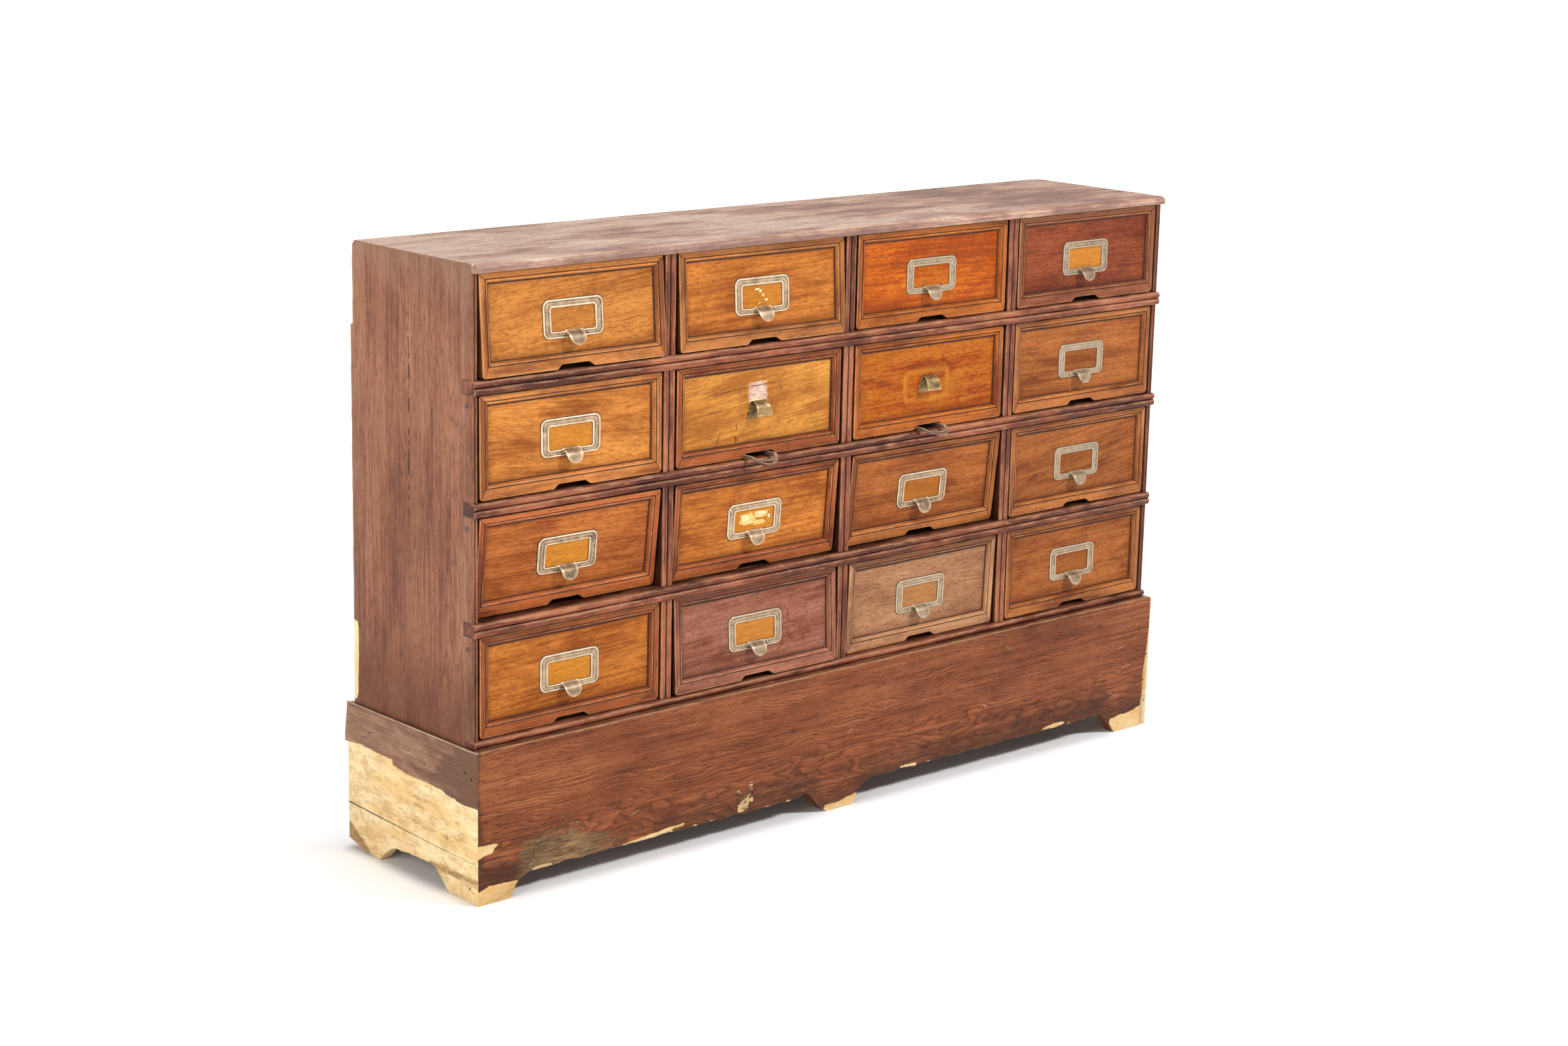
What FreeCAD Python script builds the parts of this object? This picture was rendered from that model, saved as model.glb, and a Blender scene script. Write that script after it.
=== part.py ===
import FreeCAD, Part
import math
import os
import Sketcher

# Filing cabinet on a low plinth: four columns by four rows of compartments.
# Each compartment has a top-hinged panelled flap; behind the flap lies a
# sliding file tray.  Millimetres, +Z up, front towards -Y, +X to the right.

App = FreeCAD
V = App.Vector
doc = App.newDocument("FilingCabinet")
sheet = doc.addObject("Spreadsheet::Sheet", "Sizes")
_row = [0]


class Dim:
    """A length that keeps its sheet expression together with its value."""

    def __init__(self, text, value):
        self.text = text
        self.value = value

    def __add__(self, other):
        o = dim(other)
        return Dim("(%s + %s)" % (self.text, o.text), self.value + o.value)

    __radd__ = __add__

    def __sub__(self, other):
        o = dim(other)
        return Dim("(%s - %s)" % (self.text, o.text), self.value - o.value)

    def __rsub__(self, other):
        return dim(other) - self

    def __mul__(self, other):
        o = dim(other)
        return Dim("(%s * %s)" % (self.text, o.text), self.value * o.value)

    __rmul__ = __mul__

    def __truediv__(self, other):
        o = dim(other)
        return Dim("(%s / %s)" % (self.text, o.text), self.value / o.value)

    def __neg__(self):
        return Dim("(0 - %s)" % self.text, -self.value)


def dim(x):
    if isinstance(x, Dim):
        return x
    return Dim("(%r)" % float(x) if x < 0 else "%r" % float(x), float(x))


def size(alias, value, note):
    _row[0] += 1
    r = _row[0]
    sheet.set("A%d" % r, note)
    sheet.set("B%d" % r, "%r" % float(value))
    sheet.setAlias("B%d" % r, alias)
    return Dim("Sizes.%s" % alias, float(value))


# ---------------------------------------------------------------- sizes
org_x = size("org_x", 671.5, "plan X of the origin, from the left side face")
org_y = size("org_y", 140.0, "plan Y of the origin, from the rails' front")
carc_w = size("carcass_width", 1343.0, "carcass width over the side panels")
side_t = size("side_thickness", 9.0, "side panel thickness")
back_y = size("side_back", 288.0, "rear edge of the side panels")
strip_y = size("strip_front", 6.5, "front face of divider strips and sides")
total_z = size("total_height", 870.0, "overall height")
top_t = size("top_thickness", 12.5, "top board thickness")
top_front = size("top_front", -3.0, "front of the top board's nosing")
top_back = size("top_back", 277.0, "rear edge of the top board")
rail_t = size("rail_height", 20.0, "front rail height")
rail_d = size("rail_depth", 28.0, "front rail depth")
board_t = size("shelf_thickness", 10.0, "shelf board thickness behind the rail")
open_h = size("opening_height", 143.4, "compartment opening height")
base_top = size("base_top", 226.5, "top face of the bottom board")
base_bot = size("base_bottom", 207.0, "underside of the bottom board")
pitch = size("column_pitch", 337.4, "pitch of the dividers")
strip_w = size("strip_width", 20.0, "divider strip width")
div_t = size("divider_thickness", 10.0, "divider board thickness")
inner_back = size("inner_back", 276.0, "front face of the back panel")
back_t = size("back_thickness", 5.0, "back panel thickness")
pl_top = size("plinth_top", 216.0, "top edge of the plinth boards")
pl_t = size("plinth_thickness", 20.0, "plinth front board thickness")
pl_proud = size("plinth_proud", 10.5, "plinth front face ahead of the rails")
pl_back = size("plinth_rear_edge", 306.0, "rear edge of the plinth boards")
pl_side = size("plinth_side_proud", 5.0, "plinth side face outside the carcass")
pls_t = size("plinth_side_thickness", 18.0, "plinth side board thickness")

fl_w = size("flap_width", 309.0, "flap width")
fl_t = size("flap_thickness", 16.0, "flap frame thickness")
fl_face = size("flap_face", 7.5, "plan Y of the flap's front face")
ax_back = size("axis_behind_face", 5.5, "hinge axis behind the flap face")
ax_down = size("axis_below_top", 10.0, "hinge axis below the flap's top edge")
gap_top = size("gap_top", 2.0, "gap above a closed flap")
gap_bot = size("gap_bottom", 1.2, "gap below a closed flap")
st_w = size("stile_width", 15.0, "flap stile width")
tm_w = size("top_member_width", 13.4, "flap top member width")
bm_w = size("bottom_member_width", 20.5, "flap bottom member width")
pn_in = size("panel_recess", 5.5, "panel face behind the frame face")
pn_t = size("panel_thickness", 6.0, "flap panel thickness")
nt_w = size("notch_width", 67.0, "notch width in the bottom member")
nt_d = size("notch_depth", 7.0, "notch depth in the bottom member")
pin_r = size("pin_radius", 1.5, "hinge pin radius")
bore_r = size("bore_radius", 1.55, "hinge bore radius in strips and sides")
seat_r = size("seat_radius", 1.51, "pin seat radius in the flap stile")
pin_in = size("pin_seat", 8.0, "pin depth in the flap stile")
pin_len = size("pin_length", 18.0, "hinge pin length")

lp_w = size("holder_width", 101.0, "label holder width")
lp_h = size("holder_height", 52.0, "label holder height")
lp_t = size("holder_thickness", 1.6, "label holder sheet thickness")
lp_ww = size("window_width", 74.0, "label window width")
lp_wh = size("window_height", 32.0, "label window height")
lp_z = size("holder_centre", -60.5, "label holder centre below the hinge axis")
lug_w = size("tongue_width", 27.0, "finger tongue width")
hp_r = size("holder_pin_radius", 1.7, "radius of the small pins that hold a holder")
hh_r = size("holder_hole_radius", 1.72, "radius of their holes")
hp_out = size("holder_pin_head", 1.0, "pin head ahead of the holder plate")

fix_h = size("side_screw_head", 4.0, "head radius of the side fixing screws")
fix_r = size("side_screw_shank", 1.8, "shank radius of the side fixing screws")

cp_w = size("cup_plate_width", 44.0, "cup pull plate width")
cp_h = size("cup_plate_height", 28.0, "cup pull plate height")
hood_w = size("hood_width", 27.0, "cup pull hood width")
cp_z = size("cup_centre", -66.0, "cup pull centre below the hinge axis")

tr_y = size("tray_front", 34.0, "front face of the trays")
tr_l = size("tray_length", 238.0, "tray length")
tr_w = size("tray_width", 306.0, "tray width")
tr_t = size("tray_wall", 8.0, "tray wall thickness")
tr_f = size("tray_floor", 6.0, "tray floor thickness")
tr_hf = size("tray_front_height", 40.0, "tray front height")
tr_hb = size("tray_back_height", 100.0, "tray rear height")
tr_gap = size("tray_gap", 0.6, "tray floor above the shelf")

lo_w = size("loop_width", 50.0, "pull loop outer width")
lo_s = size("loop_strip", 5.0, "pull loop strip width")
lo_t = size("loop_thickness", 1.6, "pull loop strip thickness")
lo_gap = size("loop_layer_step", 3.0, "upper strip above the lower strip")
lo_tip = size("loop_tip", -27.0, "plan Y of the pull loop's tip")
lo_up = size("loop_height", 0.8, "lower strip above the tray's underside")
lo_ang = 23.0
LOOP_OFF = {2: -5.8, 3: -2.2}     # the pulls sit a little left of the middle

row_pitch = open_h + rail_t

# rows: 1 = top ... 4 = bottom; underside above and rail top below each one
zt = {}
zb = {}
for r in (4, 3, 2):
    zb[r] = base_top + (4 - r) * row_pitch
    zt[r] = zb[r] + open_h
zb[1] = base_top + 3 * row_pitch
zt[1] = total_z - top_t

# divider centres and compartment centres
div_x = {1: org_x - pitch, 2: org_x, 3: org_x + pitch}
left_in = side_t
col_x = {
    1: (side_t + div_x[1] - strip_w / 2) / 2,
    2: (div_x[1] + div_x[2]) / 2,
    3: (div_x[2] + div_x[3]) / 2,
    4: (div_x[3] + strip_w / 2 + carc_w - side_t) / 2,
}
axis_y = fl_face + ax_back

# forward (+) or inward (-) lean of each flap as it stands, in degrees
LEAN = {(1, 1): 4.0, (1, 2): 3.2, (2, 1): 0.5, (4, 2): 2.5,
        (3, 1): -6.0, (3, 2): -4.0, (3, 3): -5.4, (4, 3): -2.0}
EMPTY = [(3, 1), (3, 2), (3, 3)]
CUPS = [(2, 2), (2, 3)]

nodes = []


def bind(obj, **props):
    for prop, value in props.items():
        d = dim(value)
        obj.setExpression(prop.replace("__", "."), d.text)


def place(obj, x, y, z, rot=None):
    if rot is not None:
        obj.Placement = App.Placement(V(0, 0, 0), rot)
    obj.setExpression("Placement.Base.x", dim(x).text)
    obj.setExpression("Placement.Base.y", dim(y).text)
    obj.setExpression("Placement.Base.z", dim(z).text)


def box(name, lx, ly, lz, x, y, z):
    o = doc.addObject("Part::Box", name)
    bind(o, Length=lx, Width=ly, Height=lz)
    place(o, x, y, z)
    return o


def pbox(name, x0, x1, y0, y1, z0, z1):
    """Box between two corners given in plan coordinates."""
    x0, x1, y0, y1, z0, z1 = [dim(q) for q in (x0, x1, y0, y1, z0, z1)]
    return box(name, x1 - x0, y1 - y0, z1 - z0, x0 - org_x, y0 - org_y, z0)


def cyl(name, rad, length, x, y, z, axis):
    o = doc.addObject("Part::Cylinder", name)
    bind(o, Radius=rad, Height=length)
    rot = {"x": App.Rotation(V(0, 1, 0), 90), "y": App.Rotation(V(1, 0, 0), -90),
           "z": App.Rotation()}[axis]
    place(o, x, y, z, rot)
    return o


def cut(name, base, *tools):
    tool = tools[0] if len(tools) == 1 else fuse(name + "_tools", *tools)
    o = doc.addObject("Part::Cut", name)
    o.Base = base
    o.Tool = tool
    return o


def fuse(name, *parts):
    o = doc.addObject("Part::MultiFuse", name)
    o.Shapes = list(parts)
    o.Refine = True
    return o


def group(name, *parts):
    o = doc.addObject("Part::Compound", name)
    o.Links = list(parts)
    return o


def node(obj, label):
    obj.Label = label
    nodes.append(obj)
    return obj


def round_edges(name, base, radius, pick):
    """Round the edges of base whose midpoints satisfy pick(mid, edge)."""
    doc.recompute()
    ids = []
    for i, e in enumerate(base.Shape.Edges, 1):
        a, b = e.ParameterRange
        if pick(e.valueAt((a + b) / 2), e):
            ids.append((i, radius, radius))
    o = doc.addObject("Part::Fillet", name)
    o.Base = base
    o.Edges = ids
    return o


def profile_body(name, role, points, length, reverse):
    """A pad of a closed outline; each corner is dimensioned from the origin."""
    body = doc.addObject("PartDesign::Body", name)
    sk = body.newObject("Sketcher::SketchObject", name + "_outline")
    plane = [f for f in body.Origin.OriginFeatures if f.Role == role][0]
    sk.AttachmentSupport = [(plane, "")]
    sk.MapMode = "FlatFace"
    n = len(points)
    pts = [(dim(a), dim(b)) for a, b in points]
    for i in range(n):
        a, b = pts[i], pts[(i + 1) % n]
        sk.addGeometry(Part.LineSegment(V(a[0].value, a[1].value, 0),
                                        V(b[0].value, b[1].value, 0)), False)
    for i in range(n):
        sk.addConstraint(Sketcher.Constraint("Coincident", i, 2, (i + 1) % n, 1))
    for i in range(n):
        for kind, d in (("DistanceX", pts[i][0]), ("DistanceY", pts[i][1])):
            if abs(d.value) < 1e-9:
                axis = -2 if kind == "DistanceX" else -1
                sk.addConstraint(Sketcher.Constraint("PointOnObject", i, 1, axis))
            else:
                c = sk.addConstraint(Sketcher.Constraint(kind, -1, 1, i, 1, d.value))
                if "Sizes" in d.text:
                    sk.setExpression("Constraints[%d]" % c, d.text)
    pad = body.newObject("PartDesign::Pad", name + "_pad")
    pad.Profile = sk
    pad.setExpression("Length", dim(length).text)
    pad.Reversed = reverse
    sk.Visibility = False
    return body, pad


def second_pad(body, name, role, points, length, reverse):
    """Another additive pad on the same body and plane."""
    sk = body.newObject("Sketcher::SketchObject", name + "_outline")
    plane = [f for f in body.Origin.OriginFeatures if f.Role == role][0]
    sk.AttachmentSupport = [(plane, "")]
    sk.MapMode = "FlatFace"
    pts = [(dim(a), dim(b)) for a, b in points]
    n = len(pts)
    for i in range(n):
        a, b = pts[i], pts[(i + 1) % n]
        sk.addGeometry(Part.LineSegment(V(a[0].value, a[1].value, 0),
                                        V(b[0].value, b[1].value, 0)), False)
    for i in range(n):
        sk.addConstraint(Sketcher.Constraint("Coincident", i, 2, (i + 1) % n, 1))
    for i in range(n):
        for kind, d in (("DistanceX", pts[i][0]), ("DistanceY", pts[i][1])):
            if abs(d.value) < 1e-9:
                axis = -2 if kind == "DistanceX" else -1
                sk.addConstraint(Sketcher.Constraint("PointOnObject", i, 1, axis))
            else:
                c = sk.addConstraint(Sketcher.Constraint(kind, -1, 1, i, 1, d.value))
                if "Sizes" in d.text:
                    sk.setExpression("Constraints[%d]" % c, d.text)
    pad = body.newObject("PartDesign::Pad", name + "_pad")
    pad.Profile = sk
    pad.setExpression("Length", dim(length).text)
    pad.Reversed = reverse
    return pad


# ---------------------------------------------------------------- carcass
# top board with a rounded front nosing
top_blank = pbox("top_blank", 0, carc_w, top_front, top_back, total_z - top_t, total_z)
top = round_edges("top_board", top_blank, 5.0,
                  lambda m, e: abs(m.y - top_front.value + org_y.value) < 0.01
                  and abs(e.tangentAt(e.FirstParameter).x) > 0.9)
node(top, "top_board")

# side panels: notched at the front for the rails, blind bores for the pins
for side, xa, xb, face in (("left", dim(0), side_t, side_t),
                           ("right", carc_w - side_t, carc_w, carc_w - side_t)):
    blank = pbox("side_%s_blank" % side, xa, xb, strip_y, back_y, base_bot, total_z - top_t)
    tools = [pbox("side_%s_base_notch" % side, xa, xb, strip_y, rail_d, base_bot, base_top),
             pbox("side_%s_rear_notch" % side, xa, xb, inner_back + back_t, back_y, 754,
                  total_z - top_t)]
    for r in (2, 3, 4):
        tools.append(pbox("side_%s_notch_%d" % (side, r), xa, xb, strip_y, rail_d,
                          zt[r], zt[r] + rail_t))
    if side == "left":
        for i, z in enumerate((682.0, 517.0, 352.0)):
            tools.append(cyl("side_screw_hole_%d" % i, fix_r, 8.0, -org_x, 19.0 - org_y, z, "x"))
    for r in (1, 2, 3, 4):
        depth = dim(7.6)
        x = face - depth if side == "left" else face
        tools.append(cyl("side_%s_bore_%d" % (side, r), bore_r, depth, x - org_x,
                         axis_y - org_y, zt[r] - gap_top - ax_down, "x"))
    node(cut("side_%s" % side, blank, *tools), "side_panel_%s" % side)

# back panel
node(pbox("back_panel_board", side_t, carc_w - side_t, inner_back, inner_back + back_t,
          base_top, total_z - top_t), "back_panel")

# bottom board with its front rail running through both sides
b_rail = pbox("bottom_rail", 0, carc_w, 0, rail_d, base_bot, base_top)
b_board = pbox("bottom_plate", side_t, carc_w - side_t, rail_d, back_y, base_bot, base_top)
b_all = fuse("bottom_fused", b_rail, b_board)
node(round_edges("bottom_round", b_all, 5.0,
                 lambda m, e: abs(m.y + org_y.value) < 0.01 and m.z > 220
                 and abs(e.tangentAt(e.FirstParameter).x) > 0.9), "bottom_board")

# three shelves, each a thick nosed front rail and a thinner board behind it
shelves = []
for r in (2, 3, 4):
    z0 = zt[r]
    rail = pbox("shelf_rail_%d" % r, 0, carc_w, 0, rail_d, z0, z0 + rail_t)
    board = pbox("shelf_board_%d" % r, side_t, carc_w - side_t, rail_d, inner_back,
                 z0 + rail_t - board_t, z0 + rail_t)
    both = fuse("shelf_fused_%d" % r, rail, board)
    shelves.append(round_edges("shelf_%d" % r, both, 5.0,
                               lambda m, e: abs(m.y + org_y.value) < 0.01
                               and abs(e.tangentAt(e.FirstParameter).x) > 0.9))
node(group("shelf_group", *shelves), "shelves")

# twelve dividers: a wide front strip and a thinner board behind it
dividers = []
for r in (1, 2, 3, 4):
    for c in (1, 2, 3):
        tag = "%d%d" % (r, c)
        strip = pbox("strip_" + tag, div_x[c] - strip_w / 2, div_x[c] + strip_w / 2,
                     strip_y, rail_d, zb[r], zt[r])
        ztop = zt[r] if r == 1 else zt[r] + rail_t - board_t
        board = pbox("divboard_" + tag, div_x[c] - div_t / 2, div_x[c] + div_t / 2,
                     rail_d, inner_back, zb[r], ztop)
        both = fuse("divfused_" + tag, strip, board)
        bore = cyl("divbore_" + tag, bore_r, strip_w + 2, div_x[c] - strip_w / 2 - 1 - org_x,
                   axis_y - org_y, zt[r] - gap_top - ax_down, "x")
        dividers.append(cut("divider_" + tag, both, bore))
node(group("divider_group", *dividers), "dividers")

# ---------------------------------------------------------------- plinth
xl = -pl_side
xr = carc_w + pl_side
# underside of the front board: left foot, centre foot and right foot
front_line = [(xl, 0), (48, 0), (52.5, 3), (55, 12), (66, 23.5), (83, 31.5), (330, 32.5),
              (575, 32), (590, 37), (601, 35.5), (611, 25), (622, 10), (634, 0), (686, 0),
              (696, 19.5), (712, 30), (730, 35.5), (980, 34.5), (1195, 36), (1214, 40),
              (1235, 36), (1255, 23), (1266, 10), (1273, 0), (xr, 0)]
pts = [(dim(a) - org_x, dim(b)) for a, b in front_line]
pts += [(xr - org_x, base_bot), (xl - org_x, base_bot)]
pf, pf_pad = profile_body("plinth_front_body", "XZ_Plane", pts, pl_t, True)
pf_up = second_pad(pf, "plinth_front_lip", "XZ_Plane",
                   [(xl - org_x, base_bot - 20), (xr - org_x, base_bot - 20),
                    (xr - org_x, pl_top), (xl - org_x, pl_top)], pl_proud, True)
place(pf, 0, -pl_proud - org_y, 0)
node(pf, "plinth_front")

# side boards, each with an arch between the front foot and the rear foot
pl_back_of_front = pl_t - pl_proud
side_line = [(pl_back_of_front, 0), (60.5, 0), (73, 9), (88, 17), (108, 23.5), (143, 21),
             (190, 16.5), (213, 8), (226, 0), (pl_back, 0)]
for side, x0 in (("left", xl), ("right", xr - pls_t)):
    pts = [(dim(a) - org_y, dim(b)) for a, b in side_line]
    pts += [(pl_back - org_y, base_bot), (pl_back_of_front - org_y, base_bot)]
    ps, ps_pad = profile_body("plinth_side_%s_body" % side, "YZ_Plane", pts, pls_t, False)
    place(ps, x0 - org_x, 0, 0)
    lip_x = xl if side == "left" else carc_w
    lip = pbox("plinth_lip_%s" % side, lip_x, lip_x + pl_side, pl_back_of_front, pl_back,
               base_bot - 20, pl_top)
    node(fuse("plinth_side_%s_all" % side, ps, lip), "plinth_side_%s" % side)

# rear cross rail between the side boards
node(pbox("plinth_rear", xl + pls_t, xr - pls_t, pl_back - 18, pl_back, 60, base_bot),
     "plinth_back")

# glued corner blocks inside the plinth
blocks = []
for i, (x0, x1, y0, y1, z0, z1) in enumerate([
        (xl + pls_t, xl + pls_t + 28, pl_back_of_front, pl_back_of_front + 28, 4, base_bot),
        (xr - pls_t - 28, xr - pls_t, pl_back_of_front, pl_back_of_front + 28, 4, base_bot),
        (xl + pls_t, xl + pls_t + 28, pl_back - 46, pl_back - 18, 4, base_bot),
        (xr - pls_t - 28, xr - pls_t, pl_back - 46, pl_back - 18, 4, base_bot),
        (636, 684, pl_back_of_front, pl_back_of_front + 30, 2, base_bot)]):
    blocks.append(pbox("plinth_block_%d" % i, x0, x1, y0, y1, z0, z1))
node(group("block_group", *blocks), "corner_blocks")

# ---------------------------------------------------------------- flaps
# Drawn once about the hinge axis (X along the pins, origin mid-width).
ROT_TOP = App.Rotation(V(1, 0, 0), V(0, 0, -1), V(0, 1, 0), "XYZ")
ROT_BOT = App.Rotation(V(1, 0, 0), V(0, 0, 1), V(0, -1, 0), "XYZ")
ROT_LEFT = App.Rotation(V(0, 0, 1), V(1, 0, 0), V(0, 1, 0), "XYZ")
ROT_RIGHT = App.Rotation(V(0, 0, 1), V(-1, 0, 0), V(0, -1, 0), "XYZ")


def mitred(name, length, width, a, b, x, y, z, rot):
    """Frame member: outer edge 0..length, inner edge a..length-b."""
    o = doc.addObject("Part::Wedge", name)
    o.Xmin, o.Ymin, o.Zmin, o.X2min, o.Z2min = 0, 0, 0, 1, 0
    o.Xmax, o.Ymax, o.Zmax, o.X2max, o.Z2max = 100, 10, 10, 90, 10
    bind(o, Xmax=length, Ymax=width, Zmax=fl_t, X2min=a, X2max=dim(length) - b, Z2max=fl_t)
    place(o, x, y, z, rot)
    return o


pins_at = [(-45.0, 12.0), (45.0, 11.0), (-23.0, -21.0), (23.0, -21.0)]


def flap_master(kind, height):
    """height: opening height; returns plain and drilled sets of members."""
    low = -(height - gap_top - ax_down - gap_bot)      # bottom edge below the axis
    length = ax_down - low
    f, k = -ax_back, fl_t - ax_back
    hw = fl_w / 2
    topm = mitred("flap_top_" + kind, fl_w, tm_w, st_w, st_w, -hw, f, ax_down, ROT_TOP)
    botm = mitred("flap_bottom_" + kind, fl_w, bm_w, st_w, st_w, -hw, k, low, ROT_BOT)
    notch = box("notch_" + kind, nt_w, fl_t + 2, nt_d + 1, -nt_w / 2, f - 1, low - 1)
    botm = cut("flap_bottom_cut_" + kind, botm, notch)
    left = mitred("flap_left_" + kind, length, st_w, bm_w, tm_w, -hw, f, low, ROT_LEFT)
    left = cut("flap_left_cut_" + kind, left,
               cyl("seat_l_" + kind, seat_r, pin_in + 1, -hw - 1, 0, 0, "x"))
    right = mitred("flap_right_" + kind, length, st_w, bm_w, tm_w, hw, k, low, ROT_RIGHT)
    right = cut("flap_right_cut_" + kind, right,
                cyl("seat_r_" + kind, seat_r, pin_in + 1, hw - pin_in, 0, 0, "x"))
    panel = box("flap_panel_" + kind, fl_w - 2 * st_w, pn_t, length - tm_w - bm_w,
                -hw + st_w, f + pn_in, low + bm_w)
    holes = [cyl("panel_hole_%s_%d" % (kind, i), hh_r, 5, x, f + pn_in - 1,
                 lp_z + z, "y") for i, (x, z) in enumerate(pins_at)]
    drilled = cut("flap_panel_drilled_" + kind, panel, *holes)
    frame = [topm, botm, left, right]
    return frame + [drilled], frame + [panel]


std_drilled, std_plain = flap_master("std", open_h)
top_drilled, _top_plain = flap_master("upper", zt[1] - zb[1])

# label holder: pressed plate with a window and a finger tongue
pf_y = -ax_back + pn_in            # panel face in the flap's own frame
plate = box("holder_blank", lp_w, lp_t, lp_h, -lp_w / 2, pf_y - lp_t, lp_z - lp_h / 2)
plate = round_edges("holder_corners", plate, 9.0,
                    lambda m, e: abs(e.tangentAt(e.FirstParameter).y) > 0.9)
window = box("holder_window", lp_ww, lp_t + 2, lp_wh, -lp_ww / 2, pf_y - lp_t - 1,
             lp_z - lp_wh / 2 - 1)
plate = cut("holder_plate", plate, window,
            *[cyl("holder_hole_%d" % i, hh_r, lp_t + 2, x, pf_y - lp_t - 1, lp_z + z, "y")
              for i, (x, z) in enumerate(pins_at)])
lug_pts = [(-1.0, -17.6), (-5.0, -18.0), (-9.0, -21.5), (-11.6, -27.5), (-12.6, -35.5),
           (-11.0, -36.0), (-9.9, -28.5), (-7.6, -23.0), (-4.4, -19.8), (-1.0, -20.6)]
lug, lug_pad = profile_body("tongue_body", "YZ_Plane", lug_pts, lug_w, False)
place(lug, -lug_w / 2, pf_y, lp_z)
holder = fuse("holder_with_tongue", plate, lug)
pins = []
for i, (x, z) in enumerate(pins_at):
    pins.append(cyl("holder_pin_%d" % i, hp_r, hp_out + lp_t + 3.6, x,
                    pf_y - lp_t - hp_out, lp_z + z, "y"))
pin_l = cyl("hinge_pin_l", pin_r, pin_len, -fl_w / 2 + pin_in - pin_len, 0, 0, "x")
pin_rr = cyl("hinge_pin_r", pin_r, pin_len, fl_w / 2 - pin_in, 0, 0, "x")

# open-ended hooded cup pull on a thin plate
cup_plate = box("cup_plate", cp_w, 1.0, cp_h, -cp_w / 2, pf_y - 1.0, cp_z - cp_h / 2)
hood_pts = [(-0.5, 14.0), (-6.0, 12.5), (-11.0, 7.0), (-14.0, -1.0), (-15.2, -10.0),
            (-14.0, -10.2), (-12.7, -1.2), (-9.9, 6.2), (-5.3, 11.2), (-0.5, 12.6)]
hood, hood_pad = profile_body("hood_body", "YZ_Plane", hood_pts, hood_w, False)
place(hood, -hood_w / 2, pf_y, cp_z)
cup = fuse("cup_pull", cup_plate, hood)

flap_nodes = {}
for r in (1, 2, 3, 4):
    for c in (1, 2, 3, 4):
        lean = LEAN.get((r, c), 0.0)
        members = top_drilled if r == 1 else (std_plain if (r, c) in CUPS else std_drilled)
        rot = App.Rotation(V(1, 0, 0), -lean)
        at = (col_x[c] - org_x, axis_y - org_y, zt[r] - gap_top - ax_down)
        flap = group("flap_%d%d" % (r, c), *members)
        place(flap, at[0], at[1], at[2], rot)
        node(flap, "flap_r%dc%d" % (r, c))
        if (r, c) in CUPS:
            metal = group("cup_pins_%d%d" % (r, c), cup, pin_l, pin_rr)
            label = "cup_pull_pins_r%dc%d" % (r, c)
        else:
            metal = group("label_pins_%d%d" % (r, c), holder, pin_l, pin_rr, *pins)
            label = "label_pull_pins_r%dc%d" % (r, c)
        place(metal, at[0], at[1], at[2], rot)
        node(metal, label)

# ---------------------------------------------------------------- trays
# Drawn once about the middle of the front face's lower edge.
t_floor = box("tray_floor_board", tr_w - 2 * tr_t, tr_l - 2 * tr_t, tr_f,
              -(tr_w / 2) + tr_t, tr_t, 0)
t_front = box("tray_front_board", tr_w - 2 * tr_t, tr_t, tr_hf, -(tr_w / 2) + tr_t, 0, 0)
t_back = box("tray_back_board", tr_w - 2 * tr_t, tr_t, tr_hb, -(tr_w / 2) + tr_t,
             tr_l - tr_t, 0)
side_pts = [(0, 0), (tr_l, 0), (tr_l, tr_hb), (120, tr_hb), (0, tr_hf)]
t_left, tl_pad = profile_body("tray_side_left_board", "YZ_Plane", side_pts, tr_t, False)
place(t_left, -(tr_w / 2), 0, 0)
t_right, t_r_pad = profile_body("tray_side_right_board", "YZ_Plane", side_pts, tr_t, False)
place(t_right, tr_w / 2 - tr_t, 0, 0)

# hairpin pull: a doubled strip, two flat legs on a tab and a drooping half ring
reach = tr_y - lo_tip                     # tab to tip
hs = lo_w / 2
flat = reach - hs                          # the legs lie flat as far as the half ring


def loop_leg(name, x):
    return box(name, lo_s, flat, lo_t, x, -flat, lo_up)


leg_l = loop_leg("loop_leg_l", -hs)
leg_r = loop_leg("loop_leg_r", hs - lo_s)
tab = box("loop_tab", lo_w, 2.0, 18, -hs, -2.0, lo_up)
droop = App.Rotation(V(1, 0, 0), lo_ang)
run = dim(1.2)
slope_l = box("loop_slope_l", lo_s, run, lo_t, -hs, -run, 0)
slope_r = box("loop_slope_r", lo_s, run, lo_t, hs - lo_s, -run, 0)
ring_out = cyl("loop_ring_out", hs, lo_t, 0, -run, 0, "z")
ring_in = cyl("loop_ring_in", hs - lo_s, lo_t + 2, 0, -run, -1, "z")
ring_cut = box("loop_ring_cut", lo_w + 4, hs + 4, lo_t + 4, -hs - 2, -run, -2)
ring = cut("loop_ring", ring_out, ring_in, ring_cut)
slope = fuse("loop_slope", slope_l, slope_r, ring)
slope_at = group("loop_slope_placed", slope)
place(slope_at, 0, -flat + 0.6, lo_up + 0.05, droop)
lower = fuse("loop_lower", leg_l, leg_r, slope_at)
upper = group("loop_upper", lower)
place(upper, 0, 0, lo_gap)
loop = fuse("hairpin_loop", lower, upper, tab)

for r in (1, 2, 3, 4):
    for c in (1, 2, 3, 4):
        if (r, c) in EMPTY:
            continue
        at = (col_x[c] - org_x, tr_y - org_y, zb[r] + tr_gap)
        tray = group("tray_%d%d" % (r, c), t_floor, t_front, t_back, t_left, t_right)
        place(tray, *at)
        node(tray, "tray_r%dc%d" % (r, c))
        if (r, c) in CUPS:
            pull = group("pull_%d%d" % (r, c), loop)
            place(pull, at[0] + LOOP_OFF[c], at[1], at[2])
            node(pull, "pull_loop_r%dc%d" % (r, c))

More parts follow.
